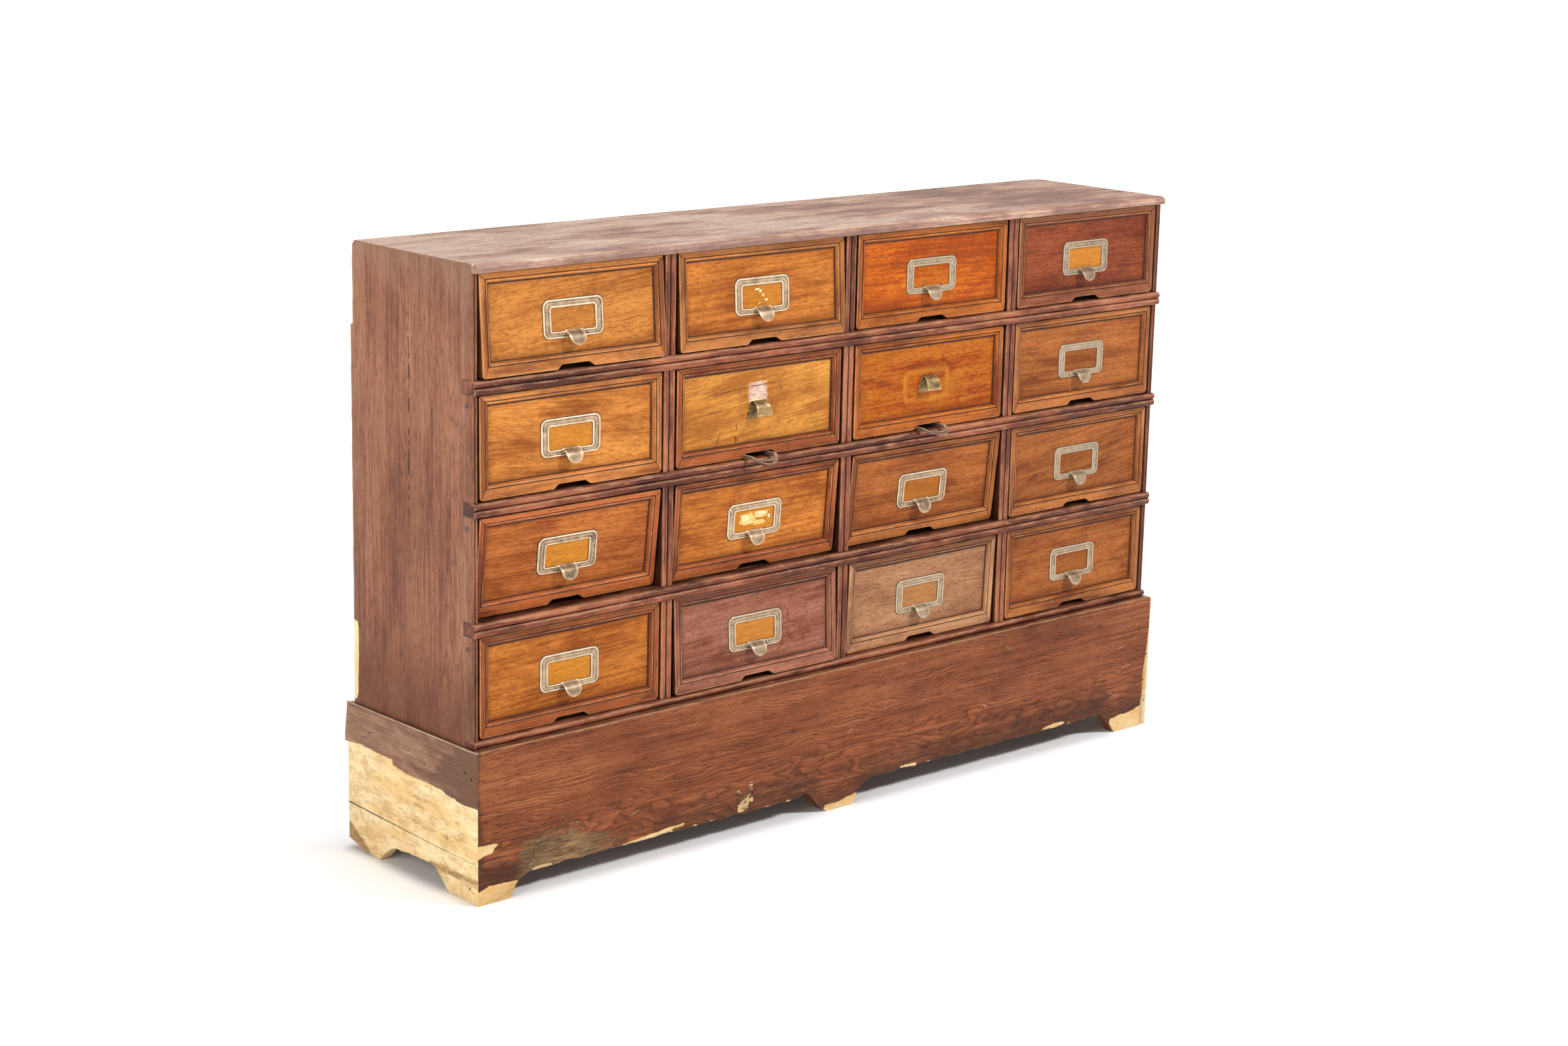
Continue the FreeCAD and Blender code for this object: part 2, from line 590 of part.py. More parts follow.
# slotted screws in the left side, near the front edge
side_screws = []
for i, z in enumerate((682.0, 517.0, 352.0)):
    hd = cyl("side_screw_head_%d" % i, fix_h, 0.8, -0.8 - org_x, 19.0 - org_y, z, "x")
    hd = cut("side_screw_slotted_%d" % i, hd,
             box("side_screw_slot_%d" % i, 0.6, fix_h * 2 + 1, 1.0, -1.0 - org_x,
                 19.0 - org_y - fix_h - 0.5, dim(z - 0.5)))
    sh = cyl("side_screw_shank_%d" % i, fix_r, 8.2, -0.2 - org_x, 19.0 - org_y, z, "x")
    side_screws.append(fuse("side_screw_%d" % i, hd, sh))
node(group("side_screw_group", *side_screws), "side_screws")

# ---------------------------------------------------------------- checks, export
doc.recompute()
bad = []
for o in doc.Objects:
    if "Invalid" in o.State or "Error" in o.State:
        bad.append("%s %s" % (o.Name, o.State))
for o in nodes:
    if o.Shape.isNull() or not o.Shape.isValid():
        bad.append("%s shape" % o.Label)
if bad:
    raise RuntimeError("failed objects: " + "; ".join(bad[:20]))
if len(nodes) > 60:
    raise RuntimeError("too many nodes: %d" % len(nodes))

os.makedirs("parts", exist_ok=True)
bb = App.BoundBox()
for o in nodes:
    o.Shape.exportStep("parts/%s.step" % o.Label)
    bb.add(o.Shape.BoundBox)
print("nodes", len(nodes), "solids", sum(len(o.Shape.Solids) for o in nodes))
print("box", [round(v, 2) for v in (bb.XMin, bb.XMax, bb.YMin, bb.YMax, bb.ZMin, bb.ZMax)])
for o in nodes:
    b = o.Shape.BoundBox
    print("%-26s solids %2d vol %10.0f  x %.1f..%.1f y %.1f..%.1f z %.1f..%.1f" % (
        o.Label, len(o.Shape.Solids), o.Shape.Volume, b.XMin, b.XMax, b.YMin, b.YMax,
        b.ZMin, b.ZMax))
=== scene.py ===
import math

import bmesh
import bpy
import numpy as np
from mathutils import Matrix, Vector


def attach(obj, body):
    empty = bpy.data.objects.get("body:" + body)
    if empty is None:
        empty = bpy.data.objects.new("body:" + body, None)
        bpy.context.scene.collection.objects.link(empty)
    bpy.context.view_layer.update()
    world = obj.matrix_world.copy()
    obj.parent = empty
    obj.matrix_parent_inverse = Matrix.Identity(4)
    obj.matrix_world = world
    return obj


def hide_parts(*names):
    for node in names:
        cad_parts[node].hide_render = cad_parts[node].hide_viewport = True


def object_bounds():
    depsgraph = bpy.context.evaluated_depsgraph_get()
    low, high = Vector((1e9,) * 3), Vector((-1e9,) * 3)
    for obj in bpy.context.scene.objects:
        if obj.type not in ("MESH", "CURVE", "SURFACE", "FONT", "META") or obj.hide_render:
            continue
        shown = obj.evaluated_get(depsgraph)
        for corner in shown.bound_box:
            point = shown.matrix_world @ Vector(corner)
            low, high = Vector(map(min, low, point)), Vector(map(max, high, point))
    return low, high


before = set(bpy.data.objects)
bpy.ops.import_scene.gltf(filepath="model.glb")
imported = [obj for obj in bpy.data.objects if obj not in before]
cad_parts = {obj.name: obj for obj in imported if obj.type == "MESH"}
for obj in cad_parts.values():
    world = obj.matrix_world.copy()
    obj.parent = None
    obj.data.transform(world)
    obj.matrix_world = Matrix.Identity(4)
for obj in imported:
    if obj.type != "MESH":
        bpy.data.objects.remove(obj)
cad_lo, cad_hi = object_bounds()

# Plan coordinates (mm): X from the left side face, Y from the rails' front
# towards the back, Z from the floor.  The row frame is plan minus ORG.
ORG = np.array([671.5, 140.0, 0.0])
PITCH, STRIP = 337.4, 20.0
DIV = {1: 671.5 - PITCH, 2: 671.5, 3: 671.5 + PITCH}
COL = {1: (9 + DIV[1] - 10) / 2, 2: (DIV[1] + DIV[2]) / 2, 3: (DIV[2] + DIV[3]) / 2,
       4: (DIV[3] + 10 + 1334) / 2}
ZB = {r: 226.5 + (4 - r) * 163.4 for r in (1, 2, 3, 4)}
ZT = {r: ZB[r] + 143.4 for r in (2, 3, 4)}
ZT[1] = 857.5
LEAN = {(1, 1): 4.0, (1, 2): 3.2, (2, 1): 0.5, (4, 2): 2.5,
        (3, 1): -6.0, (3, 2): -4.0, (3, 3): -5.4, (4, 3): -2.0}
EMPTY = [(3, 1), (3, 2), (3, 3)]
CUPS = [(2, 2), (2, 3)]
CELLS = [(r, c) for r in (1, 2, 3, 4) for c in (1, 2, 3, 4)]


BOX = (np.array(cad_lo), np.array(cad_hi))


def srgb(r, g, b):
    """8-bit display colour to linear."""
    out = []
    for v in (r, g, b):
        v = v / 255.0
        out.append(v / 12.92 if v <= 0.04045 else ((v + 0.055) / 1.055) ** 2.4)
    return tuple(out)


# ------------------------------------------------------------------ shaders
class Nodes:
    """Short calls that add shader nodes and return their output sockets."""

    def __init__(self, name):
        self.mat = bpy.data.materials.new(name)
        self.mat.use_nodes = True
        self.t = self.mat.node_tree
        self.t.nodes.clear()

    def new(self, kind, **props):
        n = self.t.nodes.new("ShaderNode" + kind)
        for k, v in props.items():
            setattr(n, k, v)
        return n

    def put(self, socket, value):
        if isinstance(value, bpy.types.NodeSocket):
            self.t.links.new(value, socket)
        elif isinstance(value, (tuple, list)) and len(value) == 3 and socket.type == "RGBA":
            socket.default_value = (*value, 1.0)
        else:
            socket.default_value = value

    def m(self, op, a, b=0.0, c=0.0, clamp=False):
        n = self.new("Math", operation=op, use_clamp=clamp)
        for s, v in zip(n.inputs, (a, b, c)):
            self.put(s, v)
        return n.outputs[0]

    def vm(self, op, a, b=(0.0, 0.0, 0.0)):
        n = self.new("VectorMath", operation=op)
        self.put(n.inputs[0], a)
        if op != "LENGTH":
            self.put(n.inputs[1], b)
        return n.outputs["Value"] if op in ("LENGTH", "DOT_PRODUCT") else n.outputs[0]

    def attr(self, name):
        n = self.new("Attribute", attribute_name=name, attribute_type="GEOMETRY")
        return n.outputs["Vector"]

    def xyz(self, v):
        n = self.new("SeparateXYZ")
        self.put(n.inputs[0], v)
        return n.outputs[0], n.outputs[1], n.outputs[2]

    def vec(self, x, y, z):
        n = self.new("CombineXYZ")
        for s, v in zip(n.inputs, (x, y, z)):
            self.put(s, v)
        return n.outputs[0]

    def noise(self, v, mul=(1.0, 1.0, 1.0), detail=2.0, rough=0.5, distort=0.0):
        n = self.new("TexNoise", noise_dimensions="3D")
        self.put(n.inputs["Vector"], self.vm("MULTIPLY", v, mul))
        n.inputs["Scale"].default_value = 1.0
        n.inputs["Detail"].default_value = detail
        n.inputs["Roughness"].default_value = rough
        n.inputs["Distortion"].default_value = distort
        return n.outputs[0]

    def cells(self, v, mul, feature="F1"):
        n = self.new("TexVoronoi", feature=feature)
        self.put(n.inputs["Vector"], self.vm("MULTIPLY", v, mul))
        n.inputs["Scale"].default_value = 1.0
        return n.outputs["Distance"]

    def step(self, v, lo, hi, a=0.0, b=1.0):
        n = self.new("MapRange", interpolation_type="SMOOTHSTEP")
        for s, x in zip(n.inputs, (v, lo, hi, a, b)):
            self.put(s, x)
        return n.outputs[0]

    def ramp(self, fac, stops):
        n = self.new("ValToRGB")
        e = n.color_ramp.elements
        while len(e) < len(stops):
            e.new(0.5)
        for q, (p, col) in zip(e, stops):
            q.position = p
            q.color = (*col, 1.0)
        self.put(n.inputs[0], fac)
        return n.outputs[0]

    def mix(self, fac, a, b, mode="MIX"):
        n = self.new("Mix", data_type="RGBA", blend_type=mode)
        self.put(n.inputs[0], fac)
        self.put(n.inputs[6], a)
        self.put(n.inputs[7], b)
        return n.outputs[2]

    def lerp(self, fac, a, b):
        n = self.new("Mix", data_type="FLOAT")
        self.put(n.inputs[0], fac)
        self.put(n.inputs[2], a)
        self.put(n.inputs[3], b)
        return n.outputs[0]

    def finish(self, color, rough, height=None, bump_mm=0.3, strength=0.6, metallic=0.0,
               coat=0.0, coat_rough=0.2, specular=0.5, sheen=0.0):
        p = self.new("BsdfPrincipled")
        self.put(p.inputs["Base Color"], color)
        self.put(p.inputs["Roughness"], rough)
        self.put(p.inputs["Metallic"], metallic)
        p.inputs["Coat Weight"].default_value = coat
        p.inputs["Coat Roughness"].default_value = coat_rough
        p.inputs["Specular IOR Level"].default_value = specular
        if sheen:
            p.inputs["Sheen Weight"].default_value = sheen
        if height is not None:
            n = self.new("Bump")
            n.inputs["Strength"].default_value = strength
            n.inputs["Distance"].default_value = bump_mm / 1000.0
            self.put(n.inputs["Height"], height)
            self.t.links.new(n.outputs[0], p.inputs["Normal"])
            if coat:
                self.t.links.new(n.outputs[0], p.inputs["Coat Normal"])
        o = self.new("OutputMaterial")
        self.t.links.new(p.outputs[0], o.inputs[0])
        return self.mat


def wood(name, dark, mid, light, pore, ringw=4.2, ring=0.35, fleck=0.5, pores=0.5, blotch=0.7,
         rough=0.42, coat=0.2, worn=(0.36, 0.27, 0.2), wear=0.8, soil=(0.018, 0.010, 0.008),
         dust=0.0, dust_col=(0.42, 0.36, 0.32), wobble=16.0, scratch=0.0, paints=None,
         bump=1.0, specks=0.0, patina=None, patina_amt=0.0, contrast=1.2, streaks=0.9,
         figure=0.0, specular=0.15, fleck_mul=(0.085, 0.42, 0.42), fleck_lo=0.56):
    """Oak and its finish.  grain: x along the grain, y and z across it from the
    pith; mask: x worn arris, y soil in corners and painted shade in the gaps beside flaps and dividers, z a board's own
    tone, which on the flaps' top members also carries painted light and shade."""
    b = Nodes(name)
    g = b.vm("SCALE", b.attr("grain"), (0, 0, 0))
    g.node.inputs["Scale"].default_value = 1000.0
    edge, corner, tone = b.xyz(b.attr("mask"))
    px, py, pz = b.xyz(b.attr("paint"))
    gx, gy, gz = b.xyz(g)

    low = b.noise(g, (0.0045, 0.016, 0.016), 3, 0.55)
    blot = b.noise(g, (0.018, 0.045, 0.045), 4, 0.6, 0.4)
    streak = b.noise(g, (0.006, 0.22, 0.22), 3, 0.55)
    wob = b.noise(g, (0.0065, 0.021, 0.021), 2, 0.5)
    fine = b.noise(g, (0.03, 0.3, 0.3), 2, 0.6)
    r0 = b.vm("LENGTH", b.vec(0.0, gy, gz))
    r1 = b.m("MULTIPLY_ADD", b.m("SUBTRACT", wob, 0.5), wobble * 2.0, r0)
    r2 = b.m("MULTIPLY_ADD", b.m("SUBTRACT", fine, 0.5), 1.6, r1)
    ph = b.m("FRACT", b.m("DIVIDE", r2, ringw))
    early = b.m("POWER", b.m("SUBTRACT", 1.0, ph), 2.2)
    early = b.m("MULTIPLY", early, b.step(ph, 0.0, 0.08))
    fl = b.step(b.noise(g, fleck_mul, 3, 0.6), fleck_lo, fleck_lo + 0.11)
    fl2 = b.step(b.noise(g, (0.16, 0.95, 0.95), 2, 0.6), 0.58, 0.70)
    fl = b.m("MAXIMUM", fl, b.m("MULTIPLY", fl2, 0.8))
    po = b.step(b.noise(g, (0.10, 2.6, 2.6), 3, 0.6), 0.52, 0.68)
    po = b.m("MULTIPLY", po, b.m("MULTIPLY_ADD", early, 0.7, 0.35))

    t = b.m("MULTIPLY_ADD", b.m("SUBTRACT", low, 0.5), contrast, 0.5)
    t = b.m("MULTIPLY_ADD", b.m("SUBTRACT", blot, 0.5), blotch, t)
    t = b.m("MULTIPLY_ADD", b.m("SUBTRACT", streak, 0.5), streaks, t)
    if figure:
        fg = b.step(b.noise(g, (0.055, 0.16, 0.16), 3, 0.6, 1.2), 0.50, 0.72)
        t = b.m("MULTIPLY_ADD", fg, figure, t)
    t = b.m("MULTIPLY_ADD", b.m("SUBTRACT", tone, 0.5), 0.35, t)
    col = b.ramp(t, [(0.12, dark), (0.5, mid), (0.88, light)])
    col = b.mix(b.m("MULTIPLY", early, ring), col, pore, "MIX")
    col = b.mix(b.m("MULTIPLY", fl, fleck), col, pore, "MIX")
    col = b.mix(b.m("MULTIPLY", po, pores), col, pore, "MIX")
    rgh = b.m("MULTIPLY_ADD", b.m("SUBTRACT", blot, 0.5), 0.22, rough)
    rgh = b.m("MULTIPLY_ADD", po, 0.15, rgh)
    hgt = b.m("MULTIPLY", po, -0.55)
    hgt = b.m("MULTIPLY_ADD", fl, -0.35, hgt)
    hgt = b.m("MULTIPLY_ADD", early, -0.22, hgt)
    hgt = b.m("MULTIPLY_ADD", b.noise(g, (0.05, 0.12, 0.12), 2), 0.5, hgt)

    if patina is not None:
        # darker skin of old finish towards the frame; round the holder plate this darkening is painted contact shadow
        # and grime
        f = b.m("MULTIPLY", b.step(b.m("MULTIPLY_ADD", b.m("SUBTRACT", blot, 0.5), 0.9, pz),
                                   0.15, 0.85), patina_amt)
        col = b.mix(f, col, patina)
    if scratch:
        rot = b.new("VectorRotate", rotation_type="AXIS_ANGLE")
        b.put(rot.inputs["Vector"], g)
        rot.inputs["Axis"].default_value = (0, 0, 1)
        rot.inputs["Angle"].default_value = 0.42
        where = b.step(b.noise(g, (0.012, 0.012, 0.012), 2), 0.50, 0.66)
        s1 = b.step(b.noise(rot.outputs[0], (0.012, 1.1, 1.1), 1), 0.70, 0.76)
        s2 = b.step(b.noise(g, (0.008, 1.3, 1.3), 1), 0.71, 0.77)
        s = b.m("MULTIPLY", b.m("MAXIMUM", s1, s2), where)
        col = b.mix(b.m("MULTIPLY", s, scratch), col, worn)
        rgh = b.m("MULTIPLY_ADD", s, 0.2, rgh)
        hgt = b.m("MULTIPLY_ADD", s, -0.5, hgt)
    if specks:
        sp = b.step(b.noise(g, (0.28, 0.36, 0.36), 3, 0.65), 0.70, 0.745)
        near = b.step(b.noise(g, (0.01, 0.02, 0.02), 2), 0.42, 0.66)
        sp = b.m("MULTIPLY", sp, near)
        col = b.mix(b.m("MULTIPLY", sp, specks), col, (0.72, 0.66, 0.58))
    if wear:
        w = b.m("MULTIPLY_ADD", b.m("SUBTRACT", b.noise(g, (0.03, 0.2, 0.2), 4, 0.7), 0.5), 1.5,
                edge)
        w = b.step(w, 0.45, 0.95)
        col = b.mix(b.m("MULTIPLY", w, wear), col, worn)
        rgh = b.m("MULTIPLY_ADD", w, 0.12, rgh)
    d = b.m("MULTIPLY_ADD", b.m("SUBTRACT", b.noise(g, (0.03, 0.1, 0.1), 3), 0.5), 0.5, corner)
    d = b.step(d, 0.2, 0.95)
    col = b.mix(b.m("MULTIPLY", d, 0.85), col, soil)
    if dust:
        n = b.new("NewGeometry")
        up = b.step(b.xyz(n.outputs["Normal"])[2], 0.35, 0.95)
        f = b.m("MULTIPLY", up, b.m("MULTIPLY_ADD", b.m("SUBTRACT", blot, 0.5), 1.2, dust),
                clamp=True)
        col = b.mix(f, col, dust_col)
        rgh = b.m("MULTIPLY_ADD", f, 0.25, rgh)
    if paints is not None:
        col, rgh, hgt = paints(b, g, (px, py, pz), col, rgh, hgt, (blot, streak, fine, po))
    rgh = b.m("MINIMUM", b.m("MAXIMUM", rgh, 0.12), 0.95)
    return b.finish(col, rgh, hgt, bump_mm=0.35 * bump, strength=0.7, coat=coat, coat_rough=0.24,
                    specular=specular)


def metal(name, bright, tarnish, dark, rough=0.34, sparkle=0.5, metallic=0.85, green=0.0, mottle=1.3):
    """Old plated sheet: bright on the pressed rims, dull and spotted between."""
    b = Nodes(name)
    g = b.vm("SCALE", b.attr("grain"), (0, 0, 0))
    g.node.inputs["Scale"].default_value = 1000.0
    edge, corner, tone = b.xyz(b.attr("mask"))
    n1 = b.noise(g, (0.09, 0.09, 0.09), 4, 0.65)
    n2 = b.noise(g, (0.9, 0.9, 0.9), 3, 0.7)
    n3 = b.noise(g, (0.25, 2.4, 2.4), 2, 0.6)
    t = b.m("MULTIPLY_ADD", b.m("SUBTRACT", n1, 0.5), mottle, 0.42)
    t = b.m("MULTIPLY_ADD", b.m("SUBTRACT", n2, 0.5), sparkle, t)
    t = b.m("MULTIPLY_ADD", b.m("SUBTRACT", edge, 0.4), 0.6, t)
    t = b.m("MULTIPLY_ADD", b.m("SUBTRACT", tone, 0.5), 0.3, t)
    col = b.ramp(t, [(0.05, dark), (0.38, tarnish), (0.72, bright), (1.0, bright)])
    if green:
        col = b.mix(b.m("MULTIPLY", b.step(n1, 0.52, 0.7), green), col, (0.20, 0.19, 0.09))
    d = b.step(b.m("MULTIPLY_ADD", b.m("SUBTRACT", n2, 0.5), 0.5, corner), 0.25, 0.95)
    col = b.mix(b.m("MULTIPLY", d, 0.8), col, (0.035, 0.025, 0.016))
    rgh = b.m("MULTIPLY_ADD", b.m("SUBTRACT", n2, 0.5), 0.35, rough)
    rgh = b.m("MULTIPLY_ADD", d, 0.3, rgh)
    rgh = b.m("MULTIPLY_ADD", b.m("SUBTRACT", edge, 0.5), -0.12, rgh)
    rgh = b.m("MAXIMUM", rgh, 0.1)
    hgt = b.m("ADD", b.m("MULTIPLY", n2, 0.6), b.m("MULTIPLY", n3, 0.25))
    return b.finish(col, rgh, hgt, bump_mm=0.16, strength=0.5, metallic=metallic)


def plain(name, col_a, col_b, rough, scale=0.2, bump=0.2, metallic=0.0):
    """Small features: cracks, chips, scratches, dark holes."""
    b = Nodes(name)
    g = b.vm("SCALE", b.attr("grain"), (0, 0, 0))
    g.node.inputs["Scale"].default_value = 1000.0
    n = b.noise(g, (scale, scale * 3, scale * 3), 4, 0.65)
    n2 = b.noise(g, (scale * 6, scale * 6, scale * 6), 2, 0.6)
    t = b.m("MULTIPLY_ADD", b.m("SUBTRACT", n2, 0.5), 0.4, n)
    col = b.mix(b.step(t, 0.35, 0.65), col_a, col_b)
    return b.finish(col, b.m("MULTIPLY_ADD", n, 0.2, rough - 0.1), n2, bump_mm=bump,
                    strength=0.5, metallic=metallic)


BARE_L = srgb(248, 224, 176)
BARE_M = srgb(238, 200, 140)
BARE_D = srgb(196, 146, 84)


def bare_wood(b, g):
    """Colour of fresh pale wood where veneer or skin has come off."""
    n1 = b.noise(g, (0.010, 0.04, 0.04), 3, 0.6)
    n2 = b.noise(g, (0.035, 0.14, 0.14), 4, 0.7, 0.6)
    n3 = b.noise(g, (0.04, 1.1, 1.1), 3, 0.6)
    c = b.mix(b.step(n1, 0.35, 0.65), BARE_M, BARE_L)
    c = b.mix(b.m("MULTIPLY", b.step(n2, 0.56, 0.72), 0.55), c, BARE_D)
    c = b.mix(b.m("MULTIPLY", b.step(n3, 0.50, 0.75), 0.35), c, BARE_D)
    return c, n2, n3


def paint_bare(weather=0.0, weather_col=(0.20, 0.16, 0.11), crisp=0.35, jag=5.0, tint=None):
    """paint.x: mm inside a bare area; paint.y: weathering 0..1; paint.z: free."""

    def run(b, g, p, col, rgh, hgt, tex):
        px, py, pz = p
        j1 = b.m("SUBTRACT", b.noise(g, (0.10, 0.35, 0.35), 4, 0.65), 0.5)
        sd = b.m("MULTIPLY_ADD", j1, jag, px)
        inside = b.step(sd, -crisp, crisp)
        c, n2, n3 = bare_wood(b, g)
        if tint is not None:
            c = b.mix(b.step(n2, 0.35, 0.6, 0.75, 1.0), c, tint, "MULTIPLY")
        if weather:
            f = b.m("MULTIPLY", b.step(b.m("MULTIPLY_ADD", b.m("SUBTRACT", n2, 0.5), 1.6, py),
                                       0.3, 0.9), weather)
            c = b.mix(f, c, weather_col)
            n4 = b.noise(g, (0.03, 0.05, 0.05), 5, 0.75, 0.6)
            c = b.mix(b.m("MULTIPLY", b.step(n4, 0.44, 0.62), 0.72 * weather), c, (0.60, 0.37, 0.15))
            c = b.mix(b.m("MULTIPLY", b.step(b.noise(g, (0.25, 0.25, 0.25), 4, 0.7), 0.60, 0.72), 0.3 * weather), c,
                      (0.34, 0.2, 0.09))
        col2 = b.mix(inside, col, c)
        # a dark torn rim along the break
        rim = b.m("MULTIPLY", b.step(sd, -1.4, -0.1), b.m("SUBTRACT", 1.0, inside))
        col2 = b.mix(b.m("MULTIPLY", rim, 0.45), col2, (0.03, 0.018, 0.012))
        rg = b.lerp(inside, rgh, b.m("MULTIPLY_ADD", n3, 0.15, 0.6))
        h = b.m("MULTIPLY_ADD", inside, -2.4, hgt)
        h = b.m("MULTIPLY_ADD", b.m("MULTIPLY", inside, n2), 0.7, h)
        return col2, rg, h

    return run


def paint_side(b, g, p, col, rgh, hgt, tex):
    """Left side: grey bloom (paint.y) and a bare yellow strip (paint.x)."""
    px, py, pz = p
    blot, streak, fine, po = tex
    f = b.m("MULTIPLY", b.step(b.m("MULTIPLY_ADD", b.m("SUBTRACT", blot, 0.5), 1.4, py), 0.3, 1.0),
            0.55)
    col = b.mix(f, col, srgb(140, 112, 92))
    f2 = b.m("MULTIPLY", b.step(b.m("MULTIPLY_ADD", b.m("SUBTRACT", streak, 0.5), 1.6, pz), 0.3, 1.0),
             0.6)
    col = b.mix(f2, col, srgb(92, 50, 32))
    sd = b.m("MULTIPLY_ADD", b.m("SUBTRACT", b.noise(g, (0.05, 0.4, 0.4), 4, 0.65), 0.5), 4.0, px)
    inside = b.step(sd, -0.4, 0.4)
    c, n2, n3 = bare_wood(b, g)
    return b.mix(inside, col, c), b.lerp(inside, rgh, 0.65), b.m("MULTIPLY_ADD", inside, -1.5, hgt)


def paint_front(b, g, p, col, rgh, hgt, tex):
    """Plinth front: bare wood (x), pale weathered skin (y), near-black soil (z)."""
    px, py, pz = p
    blot, streak, fine, po = tex
    e = b.m("SUBTRACT", b.noise(g, (0.02, 0.09, 0.09), 5, 0.7), 0.5)
    f = b.step(b.m("MULTIPLY_ADD", e, 1.7, py), 0.42, 0.85)
    f = b.m("MULTIPLY", f, 0.75)
    worn_c = b.mix(b.step(fine, 0.4, 0.65), srgb(158, 132, 92), srgb(112, 84, 60))
    col = b.mix(f, col, worn_c)
    rgh = b.m("MULTIPLY_ADD", f, 0.25, rgh)
    k = b.m("MULTIPLY", b.step(b.m("MULTIPLY_ADD", e, 1.3, pz), 0.30, 1.0), 0.72)
    col = b.mix(k, col, srgb(52, 34, 28))
    crust = b.step(b.noise(g, (0.30, 0.34, 0.34), 4, 0.7), 0.60, 0.72)
    crust = b.m("MULTIPLY", crust, b.step(py, 0.55, 0.9))
    col = b.mix(b.m("MULTIPLY", crust, 0.7), col, srgb(214, 200, 178))
    run = paint_bare(0.35, srgb(120, 92, 60), 0.35, 4.0, (0.74, 0.66, 0.56))
    return run(b, g, (px, py, pz), col, rgh, hgt, tex)


def paint_panel(bright, amount, red, rough_edge=2.0, soft=1.0):
    """Flap panel: paint.y mm inside an area that kept its first bright colour,
    paint.z darkening towards the frame, and round the holder plate as painted contact shadow and grime."""

    def run(b, g, p, col, rgh, hgt, tex):
        px, py, pz = p
        blot, streak, fine, po = tex
        j = b.m("SUBTRACT", b.noise(g, (0.16, 0.2, 0.2), 4, 0.65), 0.5)
        f = b.step(b.m("MULTIPLY_ADD", j, rough_edge, py), -0.8 * soft, 0.8 * soft)
        n = b.step(b.noise(g, (0.10, 0.5, 0.5), 3, 0.6, 0.3), 0.46, 0.62)
        bc = b.mix(b.m("MULTIPLY", n, 0.55), bright, tuple(0.42 * q for q in bright))
        bc = b.mix(b.m("MULTIPLY", b.step(streak, 0.40, 0.60), 0.5), bc, tuple(0.6 * q for q in bright))
        col = b.mix(b.m("MULTIPLY", f, amount), col, bc)
        rgh = b.m("MULTIPLY_ADD", f, 0.12, rgh)
        q = b.step(b.m("MULTIPLY_ADD", j, 7.0, px), -1.6, 1.6)
        if red is not None:
            s = b.m("MULTIPLY", q, b.step(b.noise(g, (0.16, 0.05, 0.16), 4, 0.65, 0.5), 0.50, 0.60))
            col = b.mix(b.m("MULTIPLY", s, 0.5), col, red)
        else:
            q = b.m("MULTIPLY", q, b.step(b.noise(g, (0.05, 0.12, 0.12), 4, 0.65, 0.6), 0.30, 0.62, 0.25, 1.0))
            q2 = b.step(b.noise(g, (0.12, 0.3, 0.3), 3, 0.6), 0.42, 0.66)
            pc = b.mix(q2, (0.66, 0.44, 0.36), (0.86, 0.74, 0.70))
            col = b.mix(b.m("MULTIPLY", q, 0.78), col, pc)
        return col, rgh, hgt

    return run


# ------------------------------------------------------------------ geometry
def rnd(seed):
    return np.random.RandomState(seed)


def wob(t, seed, period, amp):
    """Smooth repeatable waviness of about amp, in mm."""
    r = rnd(seed)
    t = np.asarray(t, float)
    out = np.zeros_like(t)
    for _ in range(6):
        f = 2 * np.pi / period * (0.5 + r.rand() * 1.9)
        out = out + np.sin(t * f + r.rand() * 6.283) * (0.5 + 0.5 * r.rand())
    return out * amp / 2.4


def jag(t, seed, pitch, amp):
    """Splintery edge: straight pieces between random heights."""
    r = rnd(seed)
    t = np.asarray(t, float)
    k = np.floor(t / pitch).astype(int)
    f = t / pitch - k
    tab = r.rand(4096)
    a, c = tab[k % 4096], tab[(k + 1) % 4096]
    return ((a + (c - a) * f) - 0.5) * 2 * amp


class Piece:
    """Collects vertices in mm with grain, mask and paint values, then builds."""

    def __init__(self):
        self.v, self.f, self.g, self.k, self.p, self.mi = [], [], [], [], [], []
        self.n = 0

    def add(self, v, faces, g, k, p=None, mat=0):
        v = np.asarray(v, float)
        self.v.append(v)
        self.g.append(np.asarray(g, float))
        self.k.append(np.asarray(k, float))
        self.p.append(np.zeros((len(v), 3)) if p is None else np.asarray(p, float))
        for f in faces:
            self.f.append(tuple(int(q) + self.n for q in f))
            self.mi.append(mat)
        self.n += len(v)

    def build(self, name, body, mats, nodes=(), at=None, lean=0.0, sharp=38.0,
              bevel=None):
        v = np.concatenate(self.v)
        if at is not None:
            th = math.radians(lean)
            y, z = v[:, 1].copy(), v[:, 2].copy()
            v[:, 1] = y * math.cos(th) + z * math.sin(th)
            v[:, 2] = -y * math.sin(th) + z * math.cos(th)
            v = v + np.array(at, float)
        v = (v - ORG) / 1000.0
        v = np.clip(v, BOX[0] + 1e-5, BOX[1] - 1e-5)
        me = bpy.data.meshes.new(name)
        me.from_pydata([tuple(q) for q in v], [], self.f)
        for nm, arr in (("grain", np.concatenate(self.g) / 1000.0),
                        ("mask", np.concatenate(self.k)),
                        ("paint", np.concatenate(self.p))):
            a = me.attributes.new(nm, "FLOAT_VECTOR", "POINT")
            a.data.foreach_set("vector", arr.astype(np.float32).ravel())
        for m in mats:
            me.materials.append(m)
        me.polygons.foreach_set("material_index", np.array(self.mi, np.int32))
        bm = bmesh.new()
        bm.from_mesh(me)
        bmesh.ops.recalc_face_normals(bm, faces=bm.faces[:])
        bm.to_mesh(me)
        bm.free()
        me.polygons.foreach_set("use_smooth", np.ones(len(me.polygons), bool))
        me.set_sharp_from_angle(angle=math.radians(sharp))
        me.update()
        ob = bpy.data.objects.new(name, me)
        bpy.context.scene.collection.objects.link(ob)
        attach(ob, body)
        if nodes:
            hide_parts(*nodes)
        return ob


